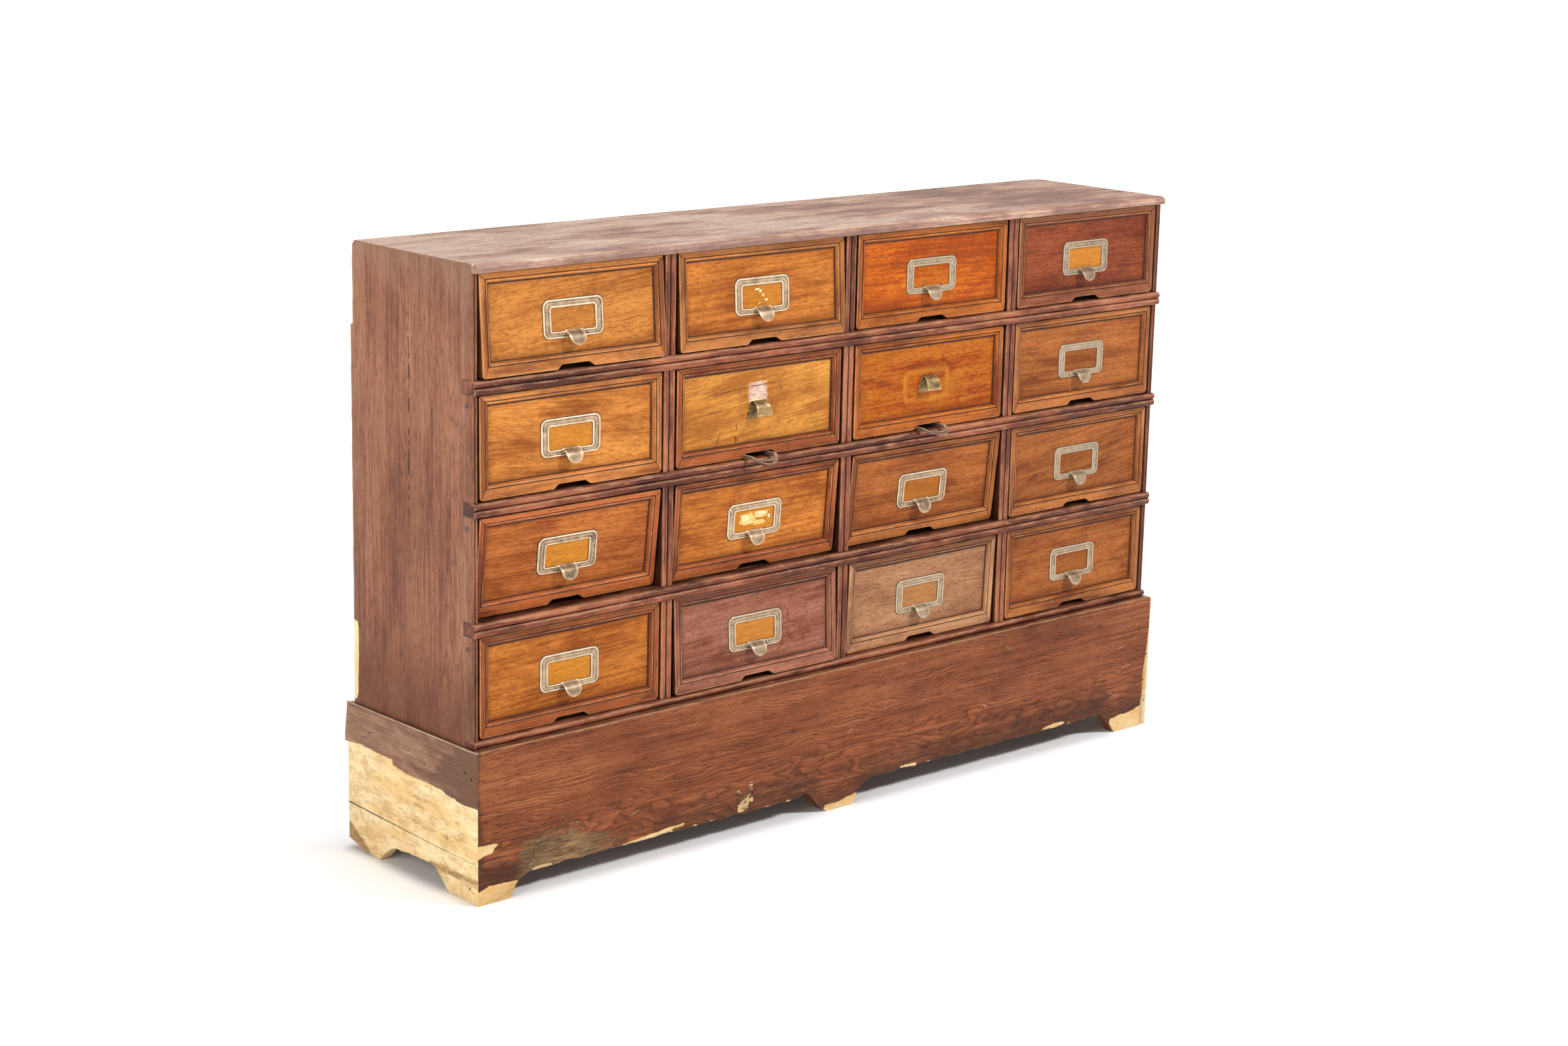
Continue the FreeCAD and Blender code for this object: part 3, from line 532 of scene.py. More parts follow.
def cuts(L, r, e, step):
    a = [0.0, 0.3 * r, r]
    if L > 2 * (r + e) + 2:
        a += [r + 0.4 * e, r + e]
        n = max(1, int(round((L - 2 * (r + e)) / step)))
        mid = list(np.linspace(r + e, L - r - e, n + 1)[1:-1])
    else:
        mid = [L / 2]
    return np.array(a + mid + [L - x for x in reversed(a)])


def grain_of(p, lo, L, axis, seed, pith):
    """Grain coordinates of points p of a board; pith: (across, depth) of the
    tree's middle from the board's middle."""
    r = rnd(seed * 7 + 3)
    rest = [i for i in range(3) if i != axis]
    if L[rest[0]] < L[rest[1]]:
        rest = rest[::-1]
    mid = lo + L / 2
    g = np.zeros_like(p)
    g[:, 0] = p[:, axis] + r.rand() * 9000
    g[:, 1] = p[:, rest[0]] - mid[rest[0]] + pith[0]
    g[:, 2] = p[:, rest[1]] - mid[rest[1]] + pith[1]
    return g


def board(P, lo, hi, axis=0, r=0.8, e=2.5, step=40.0, seed=1, pith=None, wear=0.8, soil=0.0,
          mat=0, fn=None, steps=None):
    """Rounded board on a fine grid, so that its edges can carry wear."""
    lo, hi = np.array(lo, float), np.array(hi, float)
    L = hi - lo
    rr = min(r, 0.3 * L.min())
    st = steps or (step, step, step)
    ax = [cuts(L[i], rr, e, st[i]) for i in range(3)]
    n = [len(a) for a in ax]
    quads = []
    for d in range(3):
        u, w = [q for q in range(3) if q != d]
        for side in (0, n[d] - 1):
            U, W = np.meshgrid(np.arange(n[u] - 1), np.arange(n[w] - 1), indexing="ij")
            U, W = U.ravel(), W.ravel()

            def idx(uu, ww):
                c = [None] * 3
                c[d] = np.full_like(uu, side)
                c[u], c[w] = uu, ww
                return (c[0] * n[1] + c[1]) * n[2] + c[2]
            quads.append(np.stack([idx(U, W), idx(U + 1, W), idx(U + 1, W + 1), idx(U, W + 1)], 1))
    Q = np.concatenate(quads)
    used, inv = np.unique(Q, return_inverse=True)
    Q = inv.reshape(Q.shape)
    i, j, k = used // (n[1] * n[2]), (used // n[2]) % n[1], used % n[2]
    p = np.stack([ax[0][i], ax[1][j], ax[2][k]], 1)
    dist = np.sort(np.minimum(p, L - p), 1)[:, 1]
    q = np.clip(p, rr, L - rr)
    dl = p - q
    ln = np.linalg.norm(dl, axis=1)
    p2 = np.where(ln[:, None] > 1e-9, q + dl / np.maximum(ln, 1e-9)[:, None] * rr, p) + lo
    rg = rnd(seed)
    if pith is None:
        pith = ((rg.rand() - 0.5) * 240, 40 + rg.rand() * 160)
    g = grain_of(p2, lo, L, axis, seed, pith)
    mk = np.stack([np.exp(-dist / (0.6 * e)) * wear, np.full(len(p2), soil),
                   np.full(len(p2), rg.rand())], 1)
    pt = np.zeros((len(p2), 3))
    if fn is not None:
        p2, mk, pt = fn(p2, mk, pt)
    P.add(p2, Q, g, mk, pt, mat)


def inset_ring(prof, d):
    """Closed outline (K,2) moved inwards by d."""
    a = np.roll(prof, 1, 0)
    c = np.roll(prof, -1, 0)
    t = c - a
    t /= np.maximum(np.linalg.norm(t, axis=1), 1e-9)[:, None]
    area = 0.5 * np.sum(prof[:, 0] * c[:, 1] - c[:, 0] * prof[:, 1])
    nrm = np.stack([-t[:, 1], t[:, 0]], 1) * (1 if area > 0 else -1)
    return prof + nrm * d


def sweep(P, prof, t0, t1, to3d, gfn, step=25.0, r=(1.0, 1.0), seed=1, mat=0, tone=0.5,
          wave=0.0, fn=None, ts=None, cap_wear=0.7):
    """Closed profile (K,4: a, b, wear, soil) carried from t0 to t1 with rounded
    ends.  to3d(t, a, b) gives plan points, gfn(points) their grain."""
    prof = np.array(prof, float)
    K = len(prof)
    ang = (math.pi / 2, math.pi / 4, 0.0)
    st = [(t0 + r[0] * (1 - math.sin(x)), r[0] * (1 - math.cos(x))) for x in ang]
    if ts is None:
        n = max(2, int(round((t1 - t0 - r[0] - r[1]) / step)))
        mid = list(np.linspace(t0 + r[0], t1 - r[1], n + 1)[1:-1])
        mid = [t0 + r[0] + 2, t0 + r[0] + 6] + [m for m in mid if t0 + r[0] + 9 < m < t1 - r[1] - 9] \
            + [t1 - r[1] - 6, t1 - r[1] - 2]
    else:
        mid = list(ts)
    st += [(m, 0.0) for m in mid]
    st += [(t1 - r[1] * (1 - math.sin(x)), r[1] * (1 - math.cos(x))) for x in reversed(ang)]
    rings, mks = [], []
    for t, ins in st:
        pr = prof[:, :2] if ins < 1e-6 else inset_ring(prof[:, :2], ins)
        if wave:
            pr = pr + np.stack([wob(np.full(K, t), seed, 160, wave) * (prof[:, 2] > 0.05),
                                wob(np.full(K, t), seed + 5, 210, wave) * (prof[:, 2] > 0.05)], 1)
        rings.append(to3d(np.full(K, t), pr[:, 0], pr[:, 1]))
        endw = max(math.exp(-(t - t0) / 2.5), math.exp(-(t1 - t) / 2.5)) * cap_wear
        mks.append(np.stack([np.maximum(prof[:, 2], endw), prof[:, 3], np.full(K, tone)], 1))
    for side in (0, -1):
        t, ins = st[side]
        pr = inset_ring(prof[:, :2], ins)
        c = pr.mean(0)
        inner = to3d(np.full(K, t), c[0] + (pr[:, 0] - c[0]) * 0.72, c[1] + (pr[:, 1] - c[1]) * 0.72)
        mk = np.stack([np.full(K, 0.12), np.full(K, 0.25), np.full(K, tone)], 1)
        if side == 0:
            rings.insert(0, inner)
            mks.insert(0, mk)
        else:
            rings.append(inner)
            mks.append(mk)
    v = np.concatenate(rings)
    m = np.concatenate(mks)
    N = len(rings)
    faces = []
    for i in range(N - 1):
        for j in range(K):
            a, c = i * K + j, i * K + (j + 1) % K
            faces.append((a, c, c + K, a + K))
    faces.append(tuple(range(K)))
    faces.append(tuple(range((N - 1) * K, N * K)))
    pt = np.zeros((len(v), 3))
    if fn is not None:
        v, m, pt = fn(v, m, pt)
    P.add(v, faces, gfn(v), m, pt, mat)


def ribbon(P, path, widths, normal, mat, seed=1, lift=0.12, tone=0.5, gdir=None):
    """Thin tapered sliver lying on a surface: a crack, scratch or splinter."""
    path = np.array(path, float)
    n = np.array(normal, float)
    n /= np.linalg.norm(n)
    w = np.interp(np.linspace(0, 1, len(path)), np.linspace(0, 1, len(widths)), widths)
    t = np.gradient(path, axis=0)
    t /= np.maximum(np.linalg.norm(t, axis=1), 1e-9)[:, None]
    s = np.cross(t, n)
    base = path + n * lift
    left, right = base + s * w[:, None] / 2, base - s * w[:, None] / 2
    v = np.empty((2 * len(path), 3))
    v[0::2], v[1::2] = left, right
    faces = [(2 * i, 2 * i + 1, 2 * i + 3, 2 * i + 2) for i in range(len(path) - 1)]
    r = rnd(seed)
    g = v + r.rand(3) * 500
    P.add(v, faces, g, np.tile([0.0, 0.0, tone], (len(v), 1)), None, mat)


def scrap(P, cx, cz, w, h, seed, mat, y=-.14, jagged=.28):
    """Torn flat remnant on a flap panel."""
    r = rnd(seed)
    n = 18
    a = np.sort(r.rand(n)) * 2 * np.pi
    q = 1 - jagged * r.rand(n)
    e = .55
    x = cx + w / 2 * np.sign(np.cos(a)) * np.abs(np.cos(a)) ** e * q
    z = cz + h / 2 * np.sign(np.sin(a)) * np.abs(np.sin(a)) ** e * q
    v = np.vstack([np.stack([x, np.full(n, y), z], 1), [[cx, y - .05, cz]]])
    P.add(v, [(i, (i + 1) % n, n) for i in range(n)], v + r.rand(3) * 300, np.tile([0, 0, .5], (n + 1, 1)), None, mat)


def poly_path(pts, seed, amp, step=3.0):
    """Resampled polyline with small sideways jitter in each coordinate."""
    pts = np.array(pts, float)
    d = np.r_[0, np.cumsum(np.linalg.norm(np.diff(pts, axis=0), axis=1))]
    n = max(2, int(d[-1] / step) + 1)
    s = np.linspace(0, d[-1], n)
    out = np.stack([np.interp(s, d, pts[:, i]) for i in range(3)], 1)
    r = rnd(seed)
    out[1:-1] += (r.rand(n - 2, 3) - 0.5) * amp * 2
    return out


def sd_poly(x, y, poly):
    """Signed distance in mm to a closed outline, positive inside."""
    x, y = np.asarray(x, float), np.asarray(y, float)
    poly = np.array(poly, float)
    best = np.full(x.shape, 1e9)
    ins = np.zeros(x.shape, bool)
    for a, c in zip(poly, np.roll(poly, -1, 0)):
        e = c - a
        t = np.clip(((x - a[0]) * e[0] + (y - a[1]) * e[1]) / (e @ e), 0, 1)
        best = np.minimum(best, np.hypot(x - a[0] - t * e[0], y - a[1] - t * e[1]))
        cond = (a[1] > y) != (c[1] > y)
        with np.errstate(divide="ignore", invalid="ignore"):
            xc = a[0] + (y - a[1]) * e[0] / (e[1] if e[1] else 1e-9)
        ins ^= cond & (x < xc)
    return np.where(ins, best, -best)


# ------------------------------------------------------------------ materials
M = {}
# the top's colours are lighter than its wood: painted sheen of the varnish seen at a low angle
M["top"] = wood("oak_top_worn_painted_sheen", srgb(150, 110, 93), srgb(200, 158, 136), srgb(230, 198, 176), srgb(100, 65, 52),
                ringw=7.0, ring=0.30, fleck=0.4, pores=0.45, blotch=1.3, rough=0.42, coat=0.0,
                worn=srgb(230, 212, 192), wear=0.6, scratch=0.6, specks=0.6, wobble=26, contrast=2.2,
                specular=0.5, streaks=1.6, soil=srgb(58, 28, 22))
M["case"] = wood("oak_case_side", srgb(116, 70, 52), srgb(156, 103, 76), srgb(184, 132, 102), srgb(80, 45, 34),
                 ringw=6.0, ring=0.35, fleck=0.5, pores=0.6, blotch=0.45, rough=0.5, coat=0.0,
                 worn=srgb(186, 150, 122), wear=0.5, scratch=0.25, specks=0.3, wobble=22,
                 paints=paint_side, contrast=1.1, streaks=1.1, fleck_mul=(0.055, 0.40, 0.40), fleck_lo=.52,
                 soil=srgb(48, 26, 20), specular=.12)
M["rail"] = wood("oak_rail_dark", srgb(76, 34, 23), srgb(122, 62, 41), srgb(164, 97, 67), srgb(42, 18, 12),
                 ringw=3.2, ring=0.20, fleck=0.4, pores=0.5, blotch=1.4, rough=0.38, coat=0.0,
                 worn=srgb(200, 148, 108), wear=0.5, specks=0.6, dust=0.1, dust_col=srgb(150, 108, 84),
                 contrast=2.0, soil=srgb(20, 8, 5), specular=.2, streaks=.7)
M["plinth"] = wood("oak_plinth_veneer", srgb(100, 52, 32), srgb(142, 80, 49), srgb(172, 107, 68), srgb(50, 24, 15),
                   ringw=3.3, ring=0.66, fleck=0.62, pores=0.7, blotch=0.6, rough=0.44, coat=0.0,
                   worn=srgb(186, 152, 118), wear=0.6, specks=0.3, wobble=18, paints=paint_front,
                   contrast=0.9, streaks=1.0, fleck_mul=(0.05, 0.42, 0.42), specular=.1)
M["veneer"] = wood("oak_side_veneer", srgb(116, 82, 64), srgb(150, 112, 90), srgb(176, 138, 114), srgb(84, 54, 40),
                   ringw=5.0, ring=0.2, fleck=0.4, pores=0.5, blotch=1.5, rough=0.5, coat=0.0,
                   worn=srgb(206, 184, 156), wear=0.6, specks=0.3,
                   paints=paint_bare(0.0, jag=3.0), contrast=2.2, specular=.1)
M["bare"] = wood("bare_pale_wood", srgb(220, 174, 108), srgb(242, 210, 154), srgb(252, 234, 194),
                 BARE_D, ringw=9.0, ring=0.2, fleck=0.12, pores=0.3, blotch=2.4, rough=0.66, coat=0.0,
                 worn=srgb(246, 228, 194), wear=0.4, soil=srgb(84, 62, 42), contrast=1.8,
                 paints=paint_bare(0.9, srgb(142, 108, 72)), specular=.1)
M["inner"] = wood("plain_inner_wood", srgb(150, 108, 68), srgb(178, 134, 88), srgb(200, 158, 110), srgb(112, 74, 44),
                  ringw=5.5, ring=0.3, fleck=0.3, pores=0.35, blotch=0.8, rough=0.62, coat=0.0,
                  worn=srgb(214, 184, 144), wear=0.5, specks=0.0)
M["inside"] = wood("dark_inner_wood", srgb(64, 38, 26), srgb(88, 56, 38), srgb(112, 76, 52), srgb(44, 26, 18),
                   ringw=5.5, ring=0.3, fleck=0.3, pores=0.35, blotch=0.8, rough=0.62, coat=0.0,
                   worn=srgb(140, 108, 82), wear=0.4)
M["back"] = wood("back_boards", srgb(108, 78, 54), srgb(140, 104, 72), srgb(168, 130, 94), srgb(74, 50, 34),
                 ringw=8.0, ring=0.4, fleck=0.2, pores=0.35, blotch=1.1, rough=0.68, coat=0.0,
                 worn=srgb(176, 148, 116), wear=0.5, wobble=30, contrast=1.6)
# holder plates: 0 rubbed bright, 1 plain, 2 dull, 3 dark with age
for i_, s_ in enumerate((1.14, 1.0, 0.8, 0.64)):
    M["nickel", i_] = metal("old_nickel_%d" % i_, *[tuple(min(.95, s_ * q) for q in srgb(*k_)) for k_ in
                            ((214, 192, 162), (167, 142, 112), (92, 71, 50))], rough=0.42, sparkle=.4, mottle=.8,
                            metallic=0.35)
SHINE = {(1, 1): 0, (2, 1): 0, (3, 1): 0, (4, 2): 2, (4, 3): 2, (4, 4): 2, (1, 3): 3, (1, 4): 3, (2, 4): 3, (3, 4): 3}
M["brass"] = metal("old_brass_pull", srgb(190, 164, 112), srgb(146, 116, 68), srgb(66, 46, 24), rough=0.42,
                   sparkle=.8, metallic=0.4, green=0.2)
M["steel"] = metal("old_steel_strip", srgb(204, 178, 158), srgb(146, 120, 102), srgb(52, 38, 30), rough=0.42,
                   metallic=0.35)
M["pin"] = metal("pin_heads", srgb(190, 174, 144), srgb(120, 100, 74), srgb(46, 36, 26), rough=0.36, metallic=0.5)
M["crack"] = plain("crack_dark", (0.012, 0.007, 0.005), (0.03, 0.017, 0.012), 0.9)
M["pale"] = plain("scratch_pale", srgb(222, 206, 184), srgb(178, 150, 124), 0.7)
M["splinter"] = plain("splinter_bare", BARE_L, BARE_M, 0.7)
M["lightscr"] = plain("scratch_light", srgb(200, 150, 104), srgb(164, 114, 72), 0.6)
M["paper"] = plain("paper_remnant", srgb(250, 236, 204), srgb(236, 196, 128), 0.8, scale=.1)
M["glue"] = plain("old_glue", srgb(242, 200, 128), srgb(226, 166, 80), 0.6, scale=.1)
# dark lines along the flaps' beads: painted shadow of the bead, with some dirt
M["grime"] = plain("grime_line", srgb(62, 27, 15), srgb(38, 15, 9), 0.7)
M["screw"] = metal("old_screw", srgb(128, 104, 86), srgb(86, 64, 50), srgb(34, 22, 17), rough=.5, metallic=.4)

# old shellac stains; each flap was finished or faded differently
STAIN = {"honey": (212, 132, 58), "ochre": (222, 152, 66), "amber": (200, 118, 46), "orange": (192, 94, 14),
         "russet": (174, 99, 44), "mahogany": (144, 68, 36), "plum": (156, 98, 76), "drab": (174, 124, 88),
         "fawn": (192, 120, 62), "ginger": (184, 100, 34), "cedar": (166, 88, 44), "chestnut": (180, 108, 54),
         "walnut": (148, 84, 52)}
FLAP = {(1, 1): ("honey", .65), (1, 2): ("amber", .77), (1, 3): ("orange", 1.0), (1, 4): ("mahogany", .8),
        (2, 1): ("honey", .74), (2, 2): ("ochre", .89), (2, 3): ("orange", .78), (2, 4): ("russet", .75),
        (3, 1): ("russet", 1.0), (3, 2): ("amber", .84), (3, 3): ("russet", .82), (3, 4): ("russet", .70),
        (4, 1): ("amber", .78), (4, 2): ("plum", .85), (4, 3): ("drab", .88), (4, 4): ("russet", .76)}
FRAME = {(1, 1): ("fawn", .80), (1, 2): ("fawn", .67), (1, 3): ("ginger", .74), (1, 4): ("walnut", .70),
         (2, 1): ("fawn", .89), (2, 2): ("cedar", .71), (2, 3): ("ginger", .84), (2, 4): ("chestnut", .81),
         (3, 1): ("cedar", .93), (3, 2): ("cedar", .82), (3, 3): ("chestnut", .84), (3, 4): ("chestnut", .81),
         (4, 1): ("cedar", .64), (4, 2): ("plum", .98), (4, 3): ("drab", .92), (4, 4): ("chestnut", .77)}
# flaps whose card window kept more of the first finish: how much
BRIGHT = {(2, 1): .8, (3, 1): .85, (4, 1): .85, (4, 2): .8, (1, 4): .8, (1, 2): .6, (3, 2): .8, (3, 3): .35,
          (4, 3): .3, (2, 3): .5}
for (r, c) in CELLS:
    nm, k = FLAP[(r, c)]
    m = tuple(k * q for q in srgb(*STAIN[nm]))
    d = (m[0] * .56, m[1] * .44, m[2] * .34)
    l = (min(1, m[0] * 1.36), m[1] * 1.5, m[2] * 1.6) if nm != "orange" else (m[0] * 1.12, m[1] * 1.55, m[2] * 2.4)
    rg = rnd(100 + r * 10 + c)
    M["panel", r, c] = wood(
        "oak_panel_r%dc%d" % (r, c), d, m, l, (m[0] * .34, m[1] * .24, m[2] * .2), ringw=3.0 + 2.2 * rg.rand(),
        ring=0.2, fleck=.6 if (r, c) in ((1, 3), (2, 3), (1, 4)) else .45, pores=0.5,
        blotch={(2, 2): .8, (4, 3): .8, (2, 3): 2.2, (1, 3): 1.1}.get((r, c), 1.3), rough=0.36, coat=0.0, worn=tuple(min(1, q * 1.25) for q in l),
        wear=0.25, scratch=0.3, specks=0.12, patina=(d[0] * .5, d[1] * .42, d[2] * .4), patina_amt=0.55,
        paints=paint_panel(srgb(208, 134, 42), BRIGHT.get((r, c), .06),
                           srgb(122, 36, 24) if (r, c) == (4, 2) else None,
                           *((9.0, 2.2) if (r, c) == (2, 3) else (2.0, 1.0))),
        contrast={(2, 2): 1.2, (4, 3): 1.0, (2, 3): 3.0, (1, 3): 1.5}.get((r, c), 1.9), streaks={(2, 2): .9, (4, 3): .6, (2, 3): 1.8}.get((r, c), 1.3), wobble=14, figure=.22 if (r, c) in ((1, 1), (2, 3), (1, 3)) else .1,
        specular=.1, fleck_mul=(.10, .52, .52), fleck_lo=.50)
    nm, k = FRAME[(r, c)]
    f = tuple(k * q for q in srgb(*STAIN[nm]))
    M["frame", r, c] = wood(
        "oak_frame_r%dc%d" % (r, c), (f[0] * .50, f[1] * .40, f[2] * .36), f, (min(1, f[0] * 1.4), f[1] * 1.45, f[2] * 1.4),
        (f[0] * .26, f[1] * .18, f[2] * .16), ringw=2.6 + 1.5 * rg.rand(), ring=0.22, fleck=0.5, pores=0.5, blotch=1.2,
        rough=0.33, coat=0.0, worn=srgb(222, 170, 118), wear=0.5, scratch=0.25, specks=0.2, soil=srgb(30, 12, 7),
        contrast=2.3, wobble=10, specular=.14, streaks=1.1)

# ------------------------------------------------------------------ carcass
C = "cabinet"


def gx(seed, ymid, zmid, pith):
    r = rnd(seed)
    off = r.rand() * 9000

    def run(v):
        g = np.zeros_like(v)
        g[:, 0] = v[:, 0] + off
        g[:, 1] = v[:, 1] - ymid + pith[0]
        g[:, 2] = v[:, 2] - zmid + pith[1]
        return g
    return run


def gz(seed, xmid, ymid, pith, swap=False):
    r = rnd(seed)
    off = r.rand() * 9000

    def run(v):
        g = np.zeros_like(v)
        g[:, 0] = v[:, 2] + off
        a, c = (v[:, 1] - ymid, v[:, 0] - xmid)
        if swap:
            a, c = c, a
        g[:, 1] = a + pith[0]
        g[:, 2] = c + pith[1]
        return g
    return run


X3 = lambda t, a, b: np.stack([t, a, b], 1)      # profile (Y, Z) along X
Z3 = lambda t, a, b: np.stack([a, b, t], 1)      # profile (X, Y) along Z

# top board
P = Piece()
ys = list(np.linspace(262, 20, 14))
prof = [(277, 859.5, .6, 0), (277, 868.5, .9, 0), (276, 869.8, .9, 0), (272, 870, .4, 0)]
prof += [(y, 870, 0, 0) for y in ys]
prof += [(10, 870, .05, 0), (4.5, 869.9, .1, .1), (1.2, 869.2, .25, .2), (-1.2, 867.4, .5, .2), (-2.6, 865, .3, .42),
         (-3, 862.4, .12, .5), (-3, 860, .12, .5), (-2.6, 858.6, .4, .3), (-1.4, 857.7, .2, .5),
         (0.5, 857.5, .1, .5), (6, 857.5, 0, .8), (30, 857.5, 0, .4), (150, 857.5, 0, 0), (272, 857.5, .1, 0),
         (276.4, 858, .5, 0)]


def top_fn(v, m, pt):
    back = v[:, 1] > 8.5
    v = v.copy()
    lift = wob(v[:, 0], 11, 700, 0.5) * (v[:, 2] > 862)
    v[:, 2] -= np.abs(lift) * 0.6
    v[:, 0] = np.where(back & (v[:, 0] < 1.2), 1.2, v[:, 0])
    v[:, 0] = np.where(back & (v[:, 0] > 1341.8), 1341.8, v[:, 0])
    # a chip at the left end of the nosing
    ch = np.exp(-((v[:, 0] + 1) / 5.0) ** 2) * (v[:, 1] < 3) * (v[:, 2] > 860)
    v[:, 2] -= ch * 1.6
    m[:, 0] = np.clip(m[:, 0] + ch * .5, 0, 1)
    edge = np.minimum(v[:, 0], 1343 - v[:, 0])
    nose = (v[:, 1] < 4) & (v[:, 2] < 868)
    m[:, 0] = np.maximum(m[:, 0], np.exp(-edge / 3.0) * np.where(nose, .3, .8))
    m[:, 0] = np.where(nose, m[:, 0] * .45, m[:, 0])
    m[:, 1] = np.where(nose, np.maximum(m[:, 1], .3), m[:, 1])
    m[:, 2] = np.where(nose, -.9, 1.0) * np.interp(v[:, 0], [0, 500, 760, 1000, 1343], [.95, .95, .7, .15, .1])
    return v, m, pt


sweep(P, prof, 0.0, 1343.0, X3, gx(5, 137, 864, (62, 38)), step=22, r=(1.2, 3.0), seed=21,
      tone=.5, wave=0.25, fn=top_fn)
r = rnd(77)
for i in range(46):
    x0, y0 = r.rand() * 1290 + 20, r.rand() * 245 + 12
    ln, a = 10 + 70 * r.rand() ** 2, r.randn() * 0.5 + (0.0 if r.rand() < .7 else 1.2)
    pth = poly_path([(x0, y0, 870), (x0 + ln * math.cos(a), y0 + ln * math.sin(a), 870)], 300 + i, .25, 6)
    pth = pth[(pth[:, 1] > 8) & (pth[:, 1] < 270) & (pth[:, 0] > 6) & (pth[:, 0] < 1336)]
    if len(pth) > 2:
        ribbon(P, pth, [0, .5 + .6 * r.rand(), 0], (0, 0, 1), 1 if r.rand() < .7 else 2, 400 + i, lift=.06)
P.build("top_board_oak", C, [M["top"], M["pale"], M["crack"]], ["top_board"])

# side panels: plan outline swept upwards
RAIL_Z = [ZT[4], ZT[3], ZT[2]]


def side_profile(left):
    out = []
    ysd = list(np.linspace(283, 30, 16))
    prof = [(0, 288, .8, 0), (0, 286.5, .9, 0), (0, 284.5, .4, 0)] + [(0, y, 0, 0) for y in ysd]
    prof += [(0, 20, 0, 0), (0, 14, 0, 0), (0, 10.5, .1, .1), (0.1, 8.4, .35, .2), (.7, 7.1, .55, .2),
             (1.8, 6.6, .3, .35), (2.9, 6.7, .1, .5), (3.7, 7.4, .1, .8), (4.1, 8.2, 0, 1), (4.5, 7.4, .1, .8),
             (5.3, 6.7, .2, .45), (6.6, 6.5, .3, .35), (7.9, 6.8, .3, .4), (8.8, 7.8, .2, .6), (9, 9.5, 0, .8),
             (9, 28, 0, .6), (9, 60, 0, .2), (9, 180, 0, 0), (9, 284, 0, 0), (8.5, 288, .4, 0)]
    for a, b, w, s in prof:
        out.append((a if left else 1343 - a, b, w, s))
    return out if left else out[::-1]


def side_fn(left):
    def run(v, m, pt):
        v = v.copy()
        y, z = v[:, 1], v[:, 2]
        x = v[:, 0] if left else 1343 - v[:, 0]
        outer = x < 0.6
        rear = y > 280
        cut = np.where(z > 754, 5.2, 0.0)
        v[:, 1] = np.where(rear, y - cut, y)
        v[:, 1] = np.where(rear, v[:, 1] - 0.7 - wob(z, 31 if left else 33, 120, .5)
                           - np.maximum(0, jag(z, 35, 17, .8)), v[:, 1])
        # rounded, worn upper rear corner
        d = np.clip(1 - (870 - z) / 9.0, 0, 1)
        v[:, 1] = np.where(rear, v[:, 1] - 6 * d ** 2, v[:, 1])
        pt[:, 0] = -50
        if left:
            strip = np.minimum(y - (279 - 3.0 * np.sin((z - 226) / 60.0)), np.minimum(z - 222, 336 - z))
            pt[:, 0] = np.where(outer, np.clip(strip, -40, 8), -50)
            pt[:, 1] = np.where(outer, .3 * np.exp(-((y - 14) / 26.0) ** 2) + .45 * np.exp(-((870 - z) / 60.0) ** 2)
                                + .4 * np.exp(-((y - 285) / 20.0) ** 2) + .25, 0)
            pt[:, 2] = np.where(outer, .75 * np.exp(-((z - 250) / 90.0) ** 2) + .5 * np.exp(-((y - 150) / 50.0) ** 2)
                                * np.exp(-((z - 560) / 220.0) ** 2), 0)
        else:
            pt[:, 1] = np.where(outer, .3, 0)
        m[:, 0] = np.maximum(m[:, 0], np.where(outer, np.exp(-np.maximum(0, 869 - z) / 2.2), 0))
        m[:, 2] = np.interp(z, [207, 240, 400, 560, 870], [-.2, -.1, .2, .35, .35]) - .35 * np.exp(-((y - 12) / 9.0) ** 2)
        return v, m, pt
    return run


for left in (True, False):
    P = Piece()
    xm = 4.5 if left else 1338.5
    ts = sorted(set(list(np.linspace(212, 864, 66)) + [753, 755]))
    sweep(P, side_profile(left), 207.0, 869.2, Z3, gz(41 if left else 43, xm, 147, (95 if left else -70, 52)),
          r=(.8, 1.0), seed=51, tone=.45, fn=side_fn(left), ts=ts, cap_wear=.8)
    nx = (-1, 0, 0) if left else (1, 0, 0)
    X0 = 0.0 if left else 1343.0
    if left:
        # long shrinkage cracks along the grain
        c1 = [(X0, 150, 850), (X0, 151, 760), (X0, 149, 700), (X0, 150.5, 600), (X0, 152, 520), (X0, 151, 430)]
        ribbon(P, poly_path(c1, 61, .35, 5), [0, 1.0, 2.0, 2.2, 1.8, .8, 0], nx, 1, 62, lift=.05)
        c2 = [(X0, 158, 640), (X0, 157, 560), (X0, 158.5, 500)]
        ribbon(P, poly_path(c2, 63, .3, 5), [0, .7, .8, 0], nx, 1, 64, lift=.05)
        c3 = [(X0, 236, 470), (X0, 235, 360), (X0, 236, 290)]
        ribbon(P, poly_path(c3, 65, .3, 5), [0, .5, .6, 0], nx, 1, 66, lift=.05)
        c4 = [(X0, 30, 430), (X0, 31, 330), (X0, 30.4, 262)]
        ribbon(P, poly_path(c4, 67, .25, 5), [0, .5, .5, 0], nx, 1, 68, lift=.05)
    rs = rnd(69 if left else 70)
    for i in range(26):
        y0, z0 = 15 + 255 * rs.rand(), 240 + 600 * rs.rand()
        ln, a = 6 + 46 * rs.rand() ** 2, rs.randn() * .4 + 1.57
        pth = poly_path([(X0, y0, z0), (X0, y0 + ln * math.cos(a), z0 + ln * math.sin(a))], 500 + i, .25, 5)
        pth = pth[(pth[:, 1] > 9) & (pth[:, 1] < 278) & (pth[:, 2] < 862)]
        if len(pth) > 2:
            ribbon(P, pth, [0, .3 + .35 * rs.rand(), 0], nx, 2 if rs.rand() < .2 else 1, 600 + i, lift=.05)
    P.build("side_panel_%s_oak" % ("left" if left else "right"), C, [M["case"], M["crack"], M["pale"]],
            ["side_panel_left" if left else "side_panel_right"])

